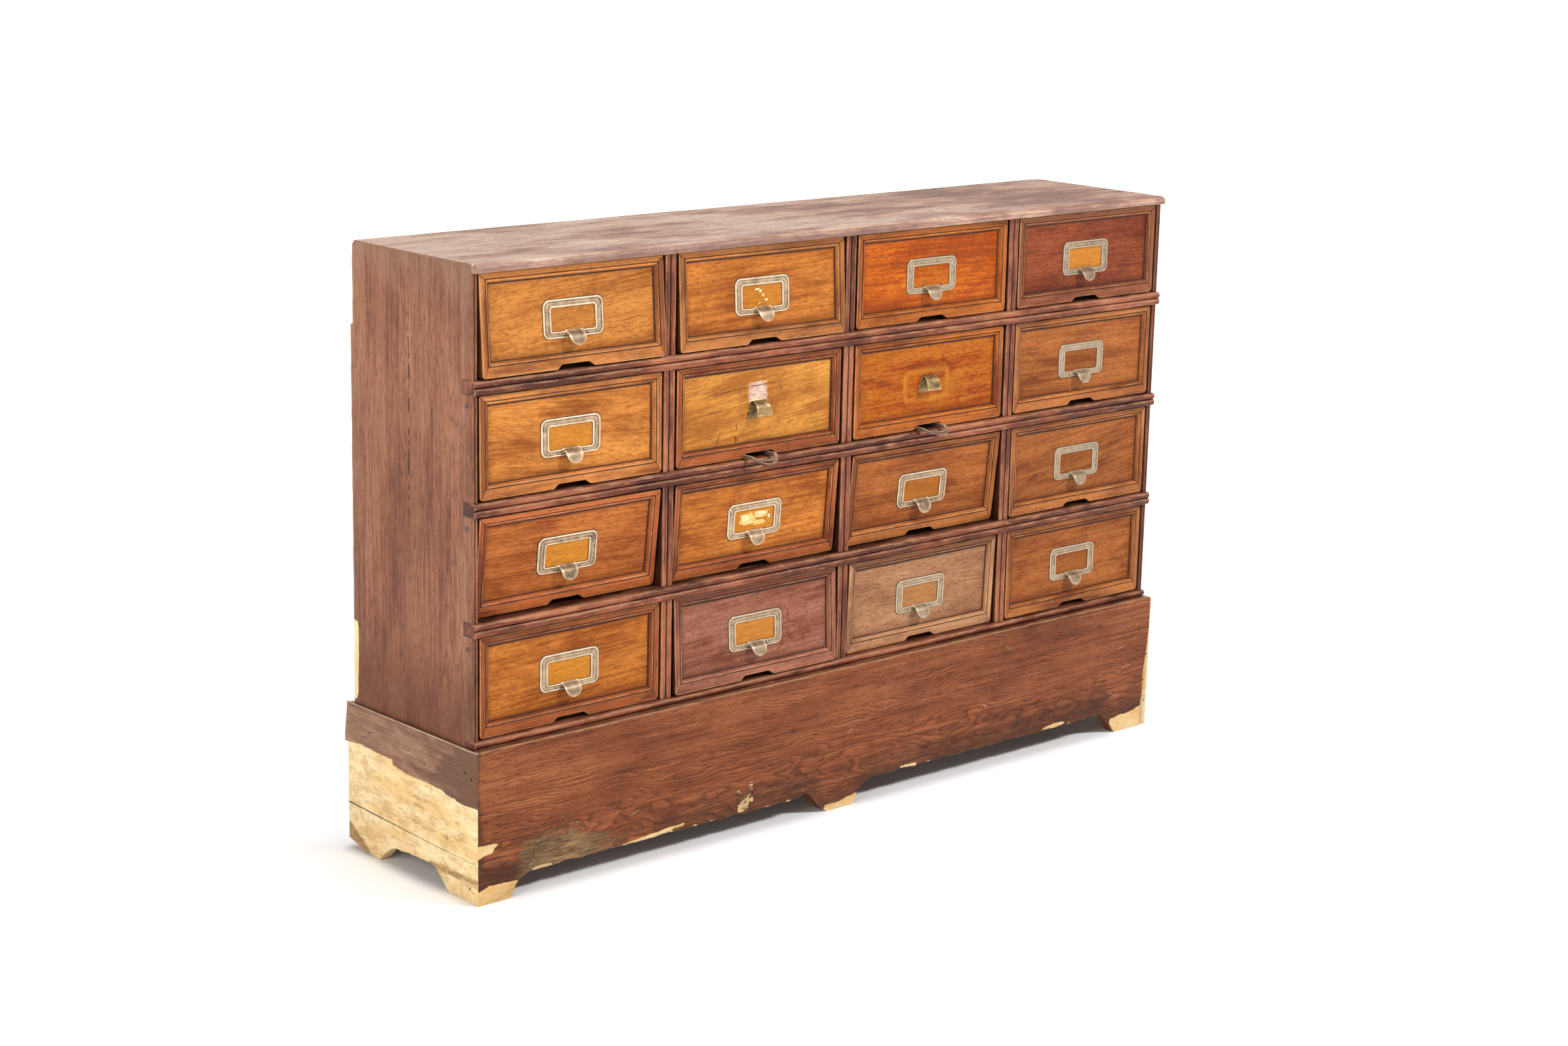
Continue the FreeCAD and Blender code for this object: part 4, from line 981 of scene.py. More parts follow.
# rails with two beads; the shelf boards behind them
RAIL = [(28, 20, 0, .8), (12, 20, 0, .8), (8.5, 20, .1, .5), (5.5, 20, .35, 0), (3.4, 19.7, .6, 0), (1.7, 18.6, .75, 0),
        (.5, 17, .7, 0), (0, 15, .45, 0), (.15, 13.2, .3, 0), (.8, 11.9, .2, .2), (1.9, 11.1, 0, .7), (3.1, 10.8, 0, 1),
        (3.3, 10.3, 0, 1), (2.4, 9.8, .2, .7), (1.3, 9.2, .7, .1), (.4, 8.1, .75, 0), (0, 6.3, .5, 0),
        (.05, 4.3, .4, 0), (.6, 2.1, .5, .05), (1.8, .6, .45, .2), (3.8, 0, .1, .8), (10, 0, 0, 1), (28, 0, 0, 1)]


def rail_fn(seed, z0):
    def run(v, m, pt):
        v = v.copy()
        front = v[:, 1] < 6
        rr = rnd(seed)
        for _ in range(9):
            # small nicks in the beads
            xc, zc = rr.rand() * 1330 + 6, z0 + rr.choice([1.0, 9.0, 19.0])
            wdt, dep = 2 + 5 * rr.rand(), .4 + .9 * rr.rand()
            k = np.exp(-((v[:, 0] - xc) / wdt) ** 2 - ((v[:, 2] - zc) / 2.2) ** 2) * front
            v[:, 1] += k * dep
            m[:, 0] = np.clip(m[:, 0] + k * .8, 0, 1)
        return v, m, pt
    return run


for i, z0 in enumerate([ZT[2], ZT[3], ZT[4]]):
    P = Piece()
    pr = [(a, b + z0, w, s) for a, b, w, s in RAIL]
    sweep(P, pr, -0.5, 1344.6, X3, gx(80 + i, 14, z0 + 10, (30 - 20 * i, 26 + 9 * i)), step=8.0,
          r=(1.0, 2.4), seed=90 + i, tone=.4 - .15 * i, wave=.18, fn=rail_fn(95 + i, z0), cap_wear=.95)
    board(P, (9, 27.5, z0 + 10), (1334, 276, z0 + 20), axis=0, r=.5, step=70, seed=101 + i, wear=.3, soil=.35, mat=1)
    P.build("shelf_r%d_oak" % (i + 2), C, [M["rail"], M["inside"]], ["shelves"])

# bottom board with its own beaded rail
P = Piece()
pr = [(28, 19.5, 0, .3), (12, 19.5, .1, .45), (8.5, 19.5, .2, .25), (5.5, 19.5, .35, 0), (3.4, 19.2, .6, 0), (1.7, 18.2, .75, 0),
      (.5, 16.8, .7, 0), (0, 15, .45, 0), (.2, 13.4, .3, 0), (1.1, 12.0, .2, .3), (2.6, 11.2, 0, .8),
      (3.6, 10.7, 0, 1), (3.2, 10.0, .1, .9), (1.6, 9.6, .3, .3), (.4, 8.6, .4, 0), (0, 6, .2, .2), (0, 0, 0, .4), (28, 0, 0, .4)]
pr = [(a, b + 207, w, s) for a, b, w, s in pr]
sweep(P, pr, -0.4, 1344.0, X3, gx(86, 14, 217, (44, 30)), step=9.0, r=(1.0, 2.2), seed=97, tone=.45, wave=.15,
      fn=rail_fn(98, 207), cap_wear=.9)
board(P, (9, 27.5, 207), (1334, 288, 226.5), axis=0, r=.8, step=70, seed=111, wear=.4, soil=.3, mat=1)
P.build("bottom_board_oak", C, [M["rail"], M["inside"]], ["bottom_board"])

# dividers: a strip with two beads in front of a thinner board
# the soil column is full on the strip's side faces: painted shade in the gaps beside the flaps
STRIP_P = [(-10, 28, 0, 1), (-10, 11, 0, 1), (-9.9, 8.6, .2, .7), (-9.0, 7.2, .8, 0), (-7.4, 6.6, .7, 0), (-5.2, 6.5, .35, 0),
           (-3.2, 6.65, .5, 0), (-1.9, 7.1, .95, 0), (-1.1, 8.2, .5, .3), (-.5, 9.6, 0, 1), (.4, 9.6, 0, 1), (.9, 8.3, .1, .6),
           (1.6, 7.2, .5, 0), (3.0, 6.6, .6, 0), (5.2, 6.5, .35, 0), (7.4, 6.6, .6, 0), (9.0, 7.2, .8, 0),
           (9.9, 8.6, .2, .7), (10, 11, 0, 1), (10, 28, 0, 1)]
for (r_, c) in [(r_, c) for r_ in (1, 2, 3, 4) for c in (1, 2, 3)]:
    P = Piece()
    x0 = DIV[c]
    pr = [(a + x0, b, w, s) for a, b, w, s in STRIP_P]
    n = 14
    ts = list(np.linspace(ZB[r_] + 2, ZT[r_] - 2, n))

    def strip_fn(v, m, pt, zb=ZB[r_], zt=ZT[r_]):
        e = np.minimum(v[:, 2] - zb, zt - v[:, 2])
        m[:, 1] = np.maximum(m[:, 1], .65 * np.exp(-np.maximum(e, 0) / 2.5))
        low = np.exp(-np.maximum(v[:, 2] - zb, 0) / 3.0) * (v[:, 1] < 8)
        m[:, 0] = np.maximum(m[:, 0], low * .9)
        return v, m, pt

    sweep(P, pr, ZB[r_] - .4, ZT[r_] + .4, Z3, gz(120 + r_ * 4 + c, x0, 17, (20 + 6 * c, 24 + 5 * r_)), r=(.2, .2),
          seed=130 + r_ * 4 + c, tone=rnd(140 + r_ * 4 + c).rand(), wave=.12, fn=strip_fn, ts=ts, cap_wear=.1)
    top = ZT[r_] if r_ == 1 else ZT[r_] + 10
    board(P, (x0 - 5, 27.5, ZB[r_]), (x0 + 5, 276, top), axis=1, r=.5, step=60, seed=150 + r_ * 4 + c, wear=.2,
          soil=.3, mat=1)
    P.build("divider_r%dc%d_oak" % (r_, c), C, [M["rail"], M["inside"]], ["dividers"])

# back of vertical boards with fine gaps
P = Piece()
xs = np.linspace(9, 1334, 12)
for i in range(11):
    board(P, (xs[i] + .5, 276 + .15 * (i % 2), 226.5), (xs[i + 1] - .5, 281 - .2 * (i % 3), 857.2), axis=2, r=.9, e=2.5,
          step=60, seed=170 + i, wear=.5, soil=.05, pith=((rnd(i + 5).rand() - .5) * 120, 30 + 40 * rnd(i + 9).rand()))
for i in range(11):
    for z in (240, 395, 560, 720, 846):
        for xx in (xs[i] + 18, xs[i + 1] - 18):
            a = np.linspace(0, 2 * np.pi, 9)[:-1]
            v = np.stack([xx + 1.7 * np.cos(a), np.full(8, 281.15), z + 1.7 * np.sin(a)], 1)
            v = np.vstack([v, [[xx, 281.3, z]]])
            P.add(v, [(q, (q + 1) % 8, 8) for q in range(8)], v, np.tile([.3, 0, .5], (9, 1)), None, 1)
P.build("back_boards", C, [M["back"], M["steel"]], ["back_panel"])

# ------------------------------------------------------------------ plinth
FLINE = [(-5, 0), (30, .4), (48, .2), (51, 1.5), (53.5, 6), (56, 13), (60, 18.5), (66, 23.5), (74, 28), (83, 31.5),
         (120, 31.6), (200, 32), (330, 32.6), (460, 32), (575, 32), (590, 37), (601, 35.5), (607, 29), (611, 24), (616, 17),
         (622, 10), (628, 4), (634, 0), (686, .4), (690, 7), (696, 19.5), (703, 25), (712, 30), (722, 33.5), (730, 35.5),
         (860, 35), (980, 34.5), (1100, 35.2), (1195, 36), (1214, 40), (1235, 36), (1246, 30), (1255, 23), (1261, 16),
         (1266, 10), (1273, 0), (1348, .5)]


def front_low(x):
    z = np.interp(x, [a for a, _ in FLINE], [b for _, b in FLINE])
    free = (z > 5)
    return z + free * (jag(x, 181, 13, .9) + jag(x, 182, 4.1, .45) + wob(x, 183, 90, .7))


def stations(lo, hi, keys, fine, coarse, reach):
    out, x = [], lo
    while x < hi:
        out.append(x)
        d = min(abs(x - k) for k in keys)
        x += fine if d < reach else coarse
    out.append(hi)
    return np.array(out)


def curtain(P, us, low, top, out3, thick, gfn, paintfn, mat=0, seed=1, tone=.5, rows=None, wave=0.0):
    """Upright board along u with its own lower edge; out3(u, depth, z)."""
    n = len(us)
    zl = low(us)
    fr = [0, .004, .011] + list(np.linspace(.022, .5, 28)) + list(np.linspace(.53, .96, 15)) + [.985, .994, 1.0]
    prof = []
    H = top - zl
    for k, f in enumerate(fr):                       # front, upwards
        z = zl + H * f
        d = np.zeros(n)
        if k == 0:
            d = d + .9
        if k == len(fr) - 1:
            d = d + 1.1
        w = np.exp(-np.minimum(z - zl, top - z) / 1.8)
        prof.append((z, d, w))
    for z_off, dd, w in ((0, thick * .5, .3), (0, thick - .4, .3)):
        prof.append((np.full(n, float(top)), np.full(n, dd), np.full(n, w)))
    for f in (.97, .5, .1, 0.0):
        prof.append((zl + H * f, np.full(n, float(thick)), np.full(n, .1)))
    prof.append((zl + .1, np.full(n, thick * .5), np.full(n, .35)))
    K = len(prof)
    v = np.zeros((n, K, 3))
    w = np.zeros((n, K))
    for k, (z, d, ww) in enumerate(prof):
        dd = d + (wob(us, seed + 3, 300, wave) if wave and k < len(fr) else 0)
        v[:, k, :] = out3(us, dd, z)
        w[:, k] = ww
    vv = v.reshape(-1, 3)
    m = np.zeros((n * K, 3))
    m[:, 0] = w.ravel()
    m[:, 2] = tone
    uu = np.repeat(us, K)
    dd = np.array([k < len(fr) for k in range(K)])
    isfront = np.tile(dd, n)
    pt, m = paintfn(uu, vv, m, isfront)
    faces = []
    for i in range(n - 1):
        for k in range(K):
            a, c = i * K + k, i * K + (k + 1) % K
            faces.append((a, c, c + K, a + K))
    faces.append(tuple(range(K)))
    faces.append(tuple(range((n - 1) * K, n * K)))
    P.add(vv, faces, gfn(vv), m, pt, mat)


CHIP = [(-8, 85.6), (9.8, 84.5), (22, 84), (31, 82.4), (24, 79), (21, 76.5), (21, 71), (12, 70.8), (6.5, 70), (-8, 66)]
FOOT_L = [(-8, -3), (-8, 19.2), (2.3, 22.2), (13.4, 25.4), (27, 25.5), (39.5, 24.4), (62, 24.2), (62, -3)]
FOOT_C = [(626, -3), (630, 10.4), (644, 10.2), (662, 10.9), (680, 15.3), (698, 17.5), (700, -3)]
FOOT_R = [(1256, -3), (1260.8, 24.7), (1273, 25.2), (1283, 27.6), (1298, 26.8), (1313, 28.9), (1335, 34.8), (1352, 38),
          (1352, -3)]
SLIV = [[(240, 34), (256, 34.5), (276, 36.6), (300, 38.6), (333, 41.4), (358, 41.4), (357, 37.5), (333, 36.6), (316, 31), (250, 30)],
        [(1098, 38), (1112, 41.4), (1123, 42.5), (1139, 42.6), (1152, 41.1), (1150, 37.6), (1128, 35), (1104, 34)],
        [(784, 39.5), (798, 40.6), (820, 39.2), (820, 34), (790, 34)], [(84, 34.5), (96, 36), (118, 36.5), (124, 31), (88, 31)],
        [(481, 62), (484.5, 60), (489, 46), (486.5, 43), (483, 52)]]
# mottled crusts: how bare
CRUST = [([(457, 35), (456, 43), (466, 53), (478, 58), (483, 50), (478, 38), (468, 34)], .35),
         ([(475, 66), (486, 64), (486, 79), (476, 78)], -.25), ([(455, 60), (466, 60), (466, 69), (456, 69)], -.3),
         ([(70, 50), (150, 60), (190, 84), (150, 92), (80, 74)], -.62)]


def front_paint(u, v, m, isf):
    x, z = v[:, 0], v[:, 2]
    pt = np.zeros((len(v), 3))
    sd = np.full(len(v), -60.0)
    for q in [CHIP, FOOT_L, FOOT_C, FOOT_R] + SLIV:
        sd = np.maximum(sd, sd_poly(x, z, q))
    low = front_low(x)
    for q, most in CRUST:
        sd = np.maximum(sd, np.minimum(sd_poly(x, z, q), most))
    h = z - low
    rim = 3.4 * wob(x, 191, 34, 1.0) - 1.9 - h           # a few bare splinters along the underside
    rim = np.where((low > 28) & (x > 200), rim, -9)
    sd = np.maximum(sd, np.minimum(rim, 3))
    pt[:, 0] = np.where(isf, np.clip(sd, -40, 12), -40)
    grey = .85 * np.exp(-(h / 34.0) ** 2) * (.12 + .88 * np.exp(-((x - 120) / 130.0) ** 2))
    grey += .75 * np.exp(-((x - 120) / 75.0) ** 2 - ((z - 62) / 26.0) ** 2)
    grey += .75 * np.exp(-((x - 472) / 15.0) ** 2 - ((z - 50) / 18.0) ** 2)
    grey += .25 * np.exp(-((x - 930) / 120.0) ** 2 - ((z - 60) / 26.0) ** 2)
    pt[:, 1] = np.where(isf, grey, .3)
    soil = .5 * np.exp(-(h / 55.0) ** 2) * (.4 + .6 * (x > 300)) + .35 * np.exp(-((x - 1320) / 60.0) ** 2)
    soil += .3 * np.exp(-((x - 70) / 120.0) ** 2 - ((z - 100) / 50.0) ** 2)
    soil += .75 * np.exp(-((x + 6) / 9.0) ** 2) + .8 * np.exp(-((x - 28) / 46.0) ** 2 - ((z - 38) / 22.0) ** 2)
    soil += .36 * np.exp(-(h / 60.0) ** 2)
    pt[:, 2] = np.where(isf, soil, .6)
    return pt, m


P = Piece()
us = stations(-4.7, 1347.7, [-5, 55, 70, 595, 605, 620, 634, 686, 700, 715, 1210, 1240, 1260, 1272, 1348], 2.2, 4.4, 28)
def front3(u, d, z):
    x = u + d * np.clip((20 - u) / 25.0, 0, 1) - d * np.clip((u - 1323) / 25.0, 0, 1)
    back = np.interp(z, [0, 35, 54, 90, 125, 166, 205], [13.2, 13.6, 10.4, 10.8, 5.5, .8, 0]) + .5 * wob(z, 209, 14, 1.0)
    x = x - np.maximum(back, 0) * np.clip((u - 1290) / 57.7, 0, 1)          # the right end is broken away lower down
    return np.stack([x, -10.5 + d, z], 1)


curtain(P, us, front_low, 216.0, front3, 20.0,
        gx(201, 0, 104, (58, 34)), front_paint, seed=203, tone=.5, wave=.35)
for i, (x, z) in enumerate([(3, 176), (1.5, 132), (4, 131), (12, 146), (1343, 120), (1342, 42), (640, 140), (1338, 78)]):
    a = np.linspace(0, 2 * np.pi, 9)[:-1]
    v = np.stack([x + 1.3 * np.cos(a), np.full(8, -10.72), z + 1.3 * np.sin(a)], 1)
    P.add(v, [tuple(range(8))], v, np.tile([0, 0, .5], (8, 1)), None, 1)
rs = rnd(207)
for i in range(40):
    x0, z0 = 20 + 1300 * rs.rand(), 60 + 145 * rs.rand()
    ln, a = 6 + 40 * rs.rand() ** 2, rs.randn() * .5
    pth = poly_path([(x0, -10.5, z0), (x0 + ln * math.cos(a), -10.5, z0 + ln * math.sin(a))], 700 + i, .2, 5)
    pth = pth[(pth[:, 2] > 55) & (pth[:, 2] < 210) & (pth[:, 0] < 1340)]
    if len(pth) > 2:
        pth[:, 1] -= .35
        ribbon(P, pth, [0, .35 + .5 * rs.rand(), 0], (0, -1, 0), 2 if rs.rand() < .5 else 1, 720 + i, lift=.05)
P.build("plinth_front_oak", C, [M["plinth"], M["crack"], M["pale"]], ["plinth_front"])

SLINE = [(-10.2, .3), (9.5, .2), (40, 0), (58, .3), (63, 5), (70, 11.5), (79, 19), (88, 26), (95, 29.5), (103, 31), (125, 30.5),
         (150, 29.5), (172, 28.5), (184, 28.5), (193, 26.5), (201, 21.5), (209, 15), (216, 8.5), (224, .6), (250, 1.5), (272, 6), (299, 14)]
SLINE_R = SLINE[:-3] + [(245, .4), (306, .4)]
# lower edge of the brown veneer on the left side: (plan Y, z)
VEN = [(-12, 137), (10, 136), (28, 135), (43, 138), (62, 140), (73, 143.5), (107, 145), (148, 144), (171, 146), (188, 150),
       (189.5, 156), (211, 157), (229, 157.5), (265, 159.5), (306, 156)]



def side_low(line):
    def run(y):
        z = np.interp(y, [a for a, _ in line], [b for _, b in line])
        return z + (z > 3) * (jag(y, 211, 9, .7) + wob(y, 212, 60, .5))
    return run


def left_paint(u, v, m, isf):
    y, z = v[:, 1], v[:, 2]
    pt = np.zeros((len(v), 3))
    pt[:, 0] = 20.0
    d = 1.0 * np.clip((8 - (300 - y) * .72 - z + 40) / 14.0, 0, 1) * (y > 210)
    d += .85 * np.exp(-((z - 31) / 6.5) ** 2) * (y < 104) * (y > -8)
    d += .35 * np.exp(-((z - 84 - .05 * (y - 150)) / 20.0) ** 2) * (y > 60)
    d += .42 * np.exp(-((y - 30) / 34.0) ** 2 - ((z - 88) / 24.0) ** 2)
    d += .40 * np.exp(-((y - 120) / 50.0) ** 2 - ((z - 118) / 20.0) ** 2)
    d += .05 + .3 * np.exp(-((y - 250) / 50.0) ** 2 - ((z - 30) / 30.0) ** 2)
    pt[:, 1] = np.where(isf, d, .4)
    m[:, 1] = np.where(isf, .5 * np.exp(-((y + 10.5) / 1.6) ** 2), .4)
    return pt, m


P = Piece()
ysd = stations(-10.2, 299, [-10, 60, 75, 90, 108, 205, 220, 226, 299], 2.5, 4.5, 16)
def left3(u, d, z):
    return np.stack([-4.1 + d, u + d * np.clip((15 - u) / 25.0, 0, 1), z], 1)


curtain(P, ysd, side_low(SLINE), 214.0, left3, 17.0,
        lambda v: np.stack([v[:, 1] + 400, v[:, 2] - 60 + 30, v[:, 0] + 46], 1), left_paint, seed=215, tone=.5)
# crack through the bare board
crk = [(-4.1, 299, 67.5), (-4.1, 240, 65), (-4.1, 160, 62), (-4.1, 106, 59.8), (-4.1, 40, 58.2), (-4.1, -4, 57)]
ribbon(P, poly_path(crk, 216, .3, 4), [1.5, 1.5, 1.0, .7, .5, .3], (-1, 0, 0), 1, 217, lift=.35)
for q, (pts, w) in enumerate([([(-4.1, 130, 112), (-4.1, 112, 106)], .5), ([(-4.1, 92, 100), (-4.1, 66, 92)], .6),
                              ([(-4.1, 60, 68), (-4.1, 30, 60)], .4), ([(-4.1, 252, 66), (-4.1, 232, 60)], .5)]):
    ribbon(P, poly_path(pts, 218 + q, .2, 4), [0, w, 0], (-1, 0, 0), 1, 222 + q, lift=.06)
for y, z in ((9, 20), (4, 176), (18, 182), (244, 182)):
    a = np.linspace(0, 2 * np.pi, 9)[:-1]
    v = np.stack([np.full(8, -4.3 if z < 100 else -5.08), y + 1.6 * np.cos(a), z + 1.6 * np.sin(a)], 1)
    P.add(v, [tuple(range(8))], v, np.tile([0, 0, .5], (8, 1)), None, 1)
# the brown veneer over it, torn along its lower edge


def ven_low(y):
    return np.interp(y, [a for a, _ in VEN], [b for _, b in VEN]) + jag(y, 231, 6, .6) + jag(y, 232, 2.3, .35)


def ven_paint(u, v, m, isf):
    pt = np.zeros((len(v), 3))
    pt[:, 0] = -40
    m[:, 1] = np.where(isf, .35 * np.exp(-((v[:, 1] + 10.2) / 2.5) ** 2), 0)
    m[:, 0] = np.where(v[:, 2] > 214.6, 1.0, m[:, 0])
    m[:, 2] = np.interp(v[:, 1], [-10, 40, 120, 200, 306], [-1.0, -.3, .5, .8, 1.0])
    return pt, m


yv = np.unique(np.r_[np.linspace(-10.4, 305.8, 126), 188, 189.5])
curtain(P, yv, ven_low, 216.0,
        lambda u, d, z: np.stack([-5.0 + d, np.where(u > 299, 299 + (u - 299) * np.clip((216 - z) / 48.0, .1, 1), u), z], 1),
        .85, lambda v: np.stack([v[:, 1] + 900, v[:, 2] - 60 + 55, v[:, 0] + 30], 1), ven_paint, mat=2, seed=233, tone=.5)
P.build("plinth_side_left_oak", C, [M["bare"], M["crack"], M["veneer"]], ["plinth_side_left"])


def right_paint(u, v, m, isf):
    y, z = v[:, 1], v[:, 2]
    pt = np.zeros((len(v), 3))
    pt[:, 0] = np.where(isf, np.clip(26 + 14 * np.sin(y / 40.0) - z + 22 * np.exp(-((y + 5) / 30.0) ** 2), -40, 12), 10)
    pt[:, 0] = np.where(y < -6, 10, pt[:, 0])
    pt[:, 1] = .4
    m[:, 1] = np.where(isf, 0, .4)
    return pt, m


P = Piece()
curtain(P, stations(-10.2, 305.8, [-10, 60, 75, 90, 108, 205, 220, 226, 306], 2.5, 5.0, 16), side_low(SLINE_R), 216.0,
        lambda u, d, z: np.stack([1348 - d, u + d * np.clip((15 - u) / 25.0, 0, 1), z], 1), 18.0,
        lambda v: np.stack([v[:, 1] + 700, v[:, 2] - 60 - 40, v[:, 0] - 1300], 1), right_paint, seed=241, tone=.6)
P.build("plinth_side_right_oak", C, [M["veneer"], M["crack"]], ["plinth_side_right"])

P = Piece()
board(P, (13, 288, 60), (1330, 306, 207), axis=0, r=1.5, e=4, step=60, seed=251, wear=.6, soil=.1)
P.build("plinth_back_rail", C, [M["back"]], ["plinth_back"])
P = Piece()
for i, (x0, x1, y0, y1, z0, z1) in enumerate([(13, 41, 9.5, 37.5, 4, 207), (1302, 1330, 9.5, 37.5, 4, 207),
                                              (13, 41, 260, 288, 4, 207), (1302, 1330, 260, 288, 4, 207),
                                              (636, 684, 9.5, 39.5, 2, 207)]):
    board(P, (x0, y0, z0), (x1, y1, z1), axis=2, r=1.5, e=3, step=40, seed=260 + i, wear=.5, soil=.2)
P.build("plinth_corner_blocks", C, [M["inner"]], ["corner_blocks"])


# ------------------------------------------------------------------ slotted screws
def lathe(P, prof, centre, axis, mat=0, seg=20, tone=.5, slot=None, seed=1, rotz=0.0):
    """Turned form: prof (radius, height, wear, soil) along a unit axis."""
    ax = np.array(axis, float)
    ax /= np.linalg.norm(ax)
    u = np.cross(ax, (0, 0, 1) if abs(ax[2]) < .9 else (0, 1, 0))
    u /= np.linalg.norm(u)
    w = np.cross(ax, u)
    a = np.linspace(0, 2 * np.pi, seg + 1)[:-1] + rotz
    v, m = [], []
    for rr, h, we, so in prof:
        dep = np.zeros(seg)
        ring = np.array(centre) + np.outer(np.cos(a) * rr, u) + np.outer(np.sin(a) * rr, w) + ax * h
        v.append(ring)
        m.append(np.tile([we, so, tone], (seg, 1)))
    v, m = np.concatenate(v), np.concatenate(m)
    faces = []
    for i in range(len(prof) - 1):
        for j in range(seg):
            p, q = i * seg + j, i * seg + (j + 1) % seg
            faces.append((p, q, q + seg, p + seg))
    faces.append(tuple(range((len(prof) - 1) * seg, len(prof) * seg)))
    P.add(v, faces, v + rnd(seed).rand(3) * 100, m, None, mat)


P = Piece()
for i, z in enumerate((682.0, 517.0, 352.0)):
    lathe(P, [(4.6, -.1, 0, 1), (4.1, .05, 0, 1), (4.0, .5, .7, .2), (3.6, .75, .8, 0), (2.4, .8, .5, 0), (1.0, .8, .4, 0), (.2, .8, .4, 0)],
          (0, 19, z), (-1, 0, 0), seg=24, seed=280 + i)
    a = [0.5, 1.1, 0.2][i]
    d = np.array([0, math.cos(a), math.sin(a)])
    c0 = np.array([-.86, 19, z])
    ribbon(P, [c0 - d * 3.4, c0, c0 + d * 3.4], [1.0, 1.1, 1.0], (-1, 0, 0), 1, 285 + i, lift=.02)
P.build("side_screws_slotted", C, [M["screw"], M["crack"]], ["side_screws"])


# ------------------------------------------------------------------ flaps
def notch_h(x, kind):
    """Height of the cut-out in the bottom member above its lower edge."""
    a, c = (10.0, 13.0) if kind == 0 else (8.0, 11.0)
    lo = np.clip((x + 33.2) / a, 0, 1)
    hi = np.clip((33.2 - x) / c, 0, 1)
    s = lambda t: t * t * (3 - 2 * t)
    return 6.6 * np.minimum(s(lo), s(hi))


HW = 154.5


def member_profile(w):
    """(inset from outer edge, depth, wear, soil) round one frame member; the soil on the outer side faces is painted
    shade in the gap beside the flap.
    """
    return np.array([
        (0.4, 10.5, .2, .3), (0.0, 9.9, .1, .9), (0.0, 2.0, .0, 1), (0.0, -3.4, .1, .8), (.25, -4.6, .7, .1),
        (.9, -5.3, 1.0, 0), (1.8, -5.5, .55, 0), (3.2, -5.5, .12, 0), (w * .5 - 1.2, -5.5, .0, 0), (w - 6.6, -5.5, .1, .05),
        (w - 6.1, -5.4, .1, .5), (w - 5.7, -4.8, 0, 1.0), (w - 5.2, -4.6, 0, 1.0), (w - 4.7, -4.95, 0, .9),
        (w - 4.2, -5.45, .7, 0), (w - 3.3, -5.25, .6, 0), (w - 2.2, -4.4, .3, 0), (w - 1.2, -3.0, .2, .05),
        (w - .4, -1.2, .05, .35), (w, .25, 0, .9), (w, 6.2, 0, .5), (w, 9.9, .2, 0), (w - .5, 10.5, .2, 0)])


LEFT_TONE = {(1, 1): .4, (1, 2): .2, (1, 3): .65, (1, 4): 1.2, (2, 1): -1.35, (2, 2): 1.1, (2, 3): -.25, (2, 4): -.3, (3, 1): -1.4, (3, 3): -2.3,
             (3, 4): .4, (4, 1): .9, (4, 3): 1.0, (4, 4): -.3}
# per flap, painted light and shade on the top member: darker where the rail or nosing above shades it, lighter where it
# catches more light
TOP_MEMBER_LIGHT_SHADE = {(1, 1): 2.6, (1, 2): 1.0, (1, 3): .3, (1, 4): 2.8, (2, 2): .3, (2, 3): -.4, (2, 4): .4, (3, 1): 1.4, (3, 2): -.2, (3, 3): -.55,
            (3, 4): -.65, (4, 1): .3, (4, 2): -2.0, (4, 3): -1.4, (4, 4): -.8}


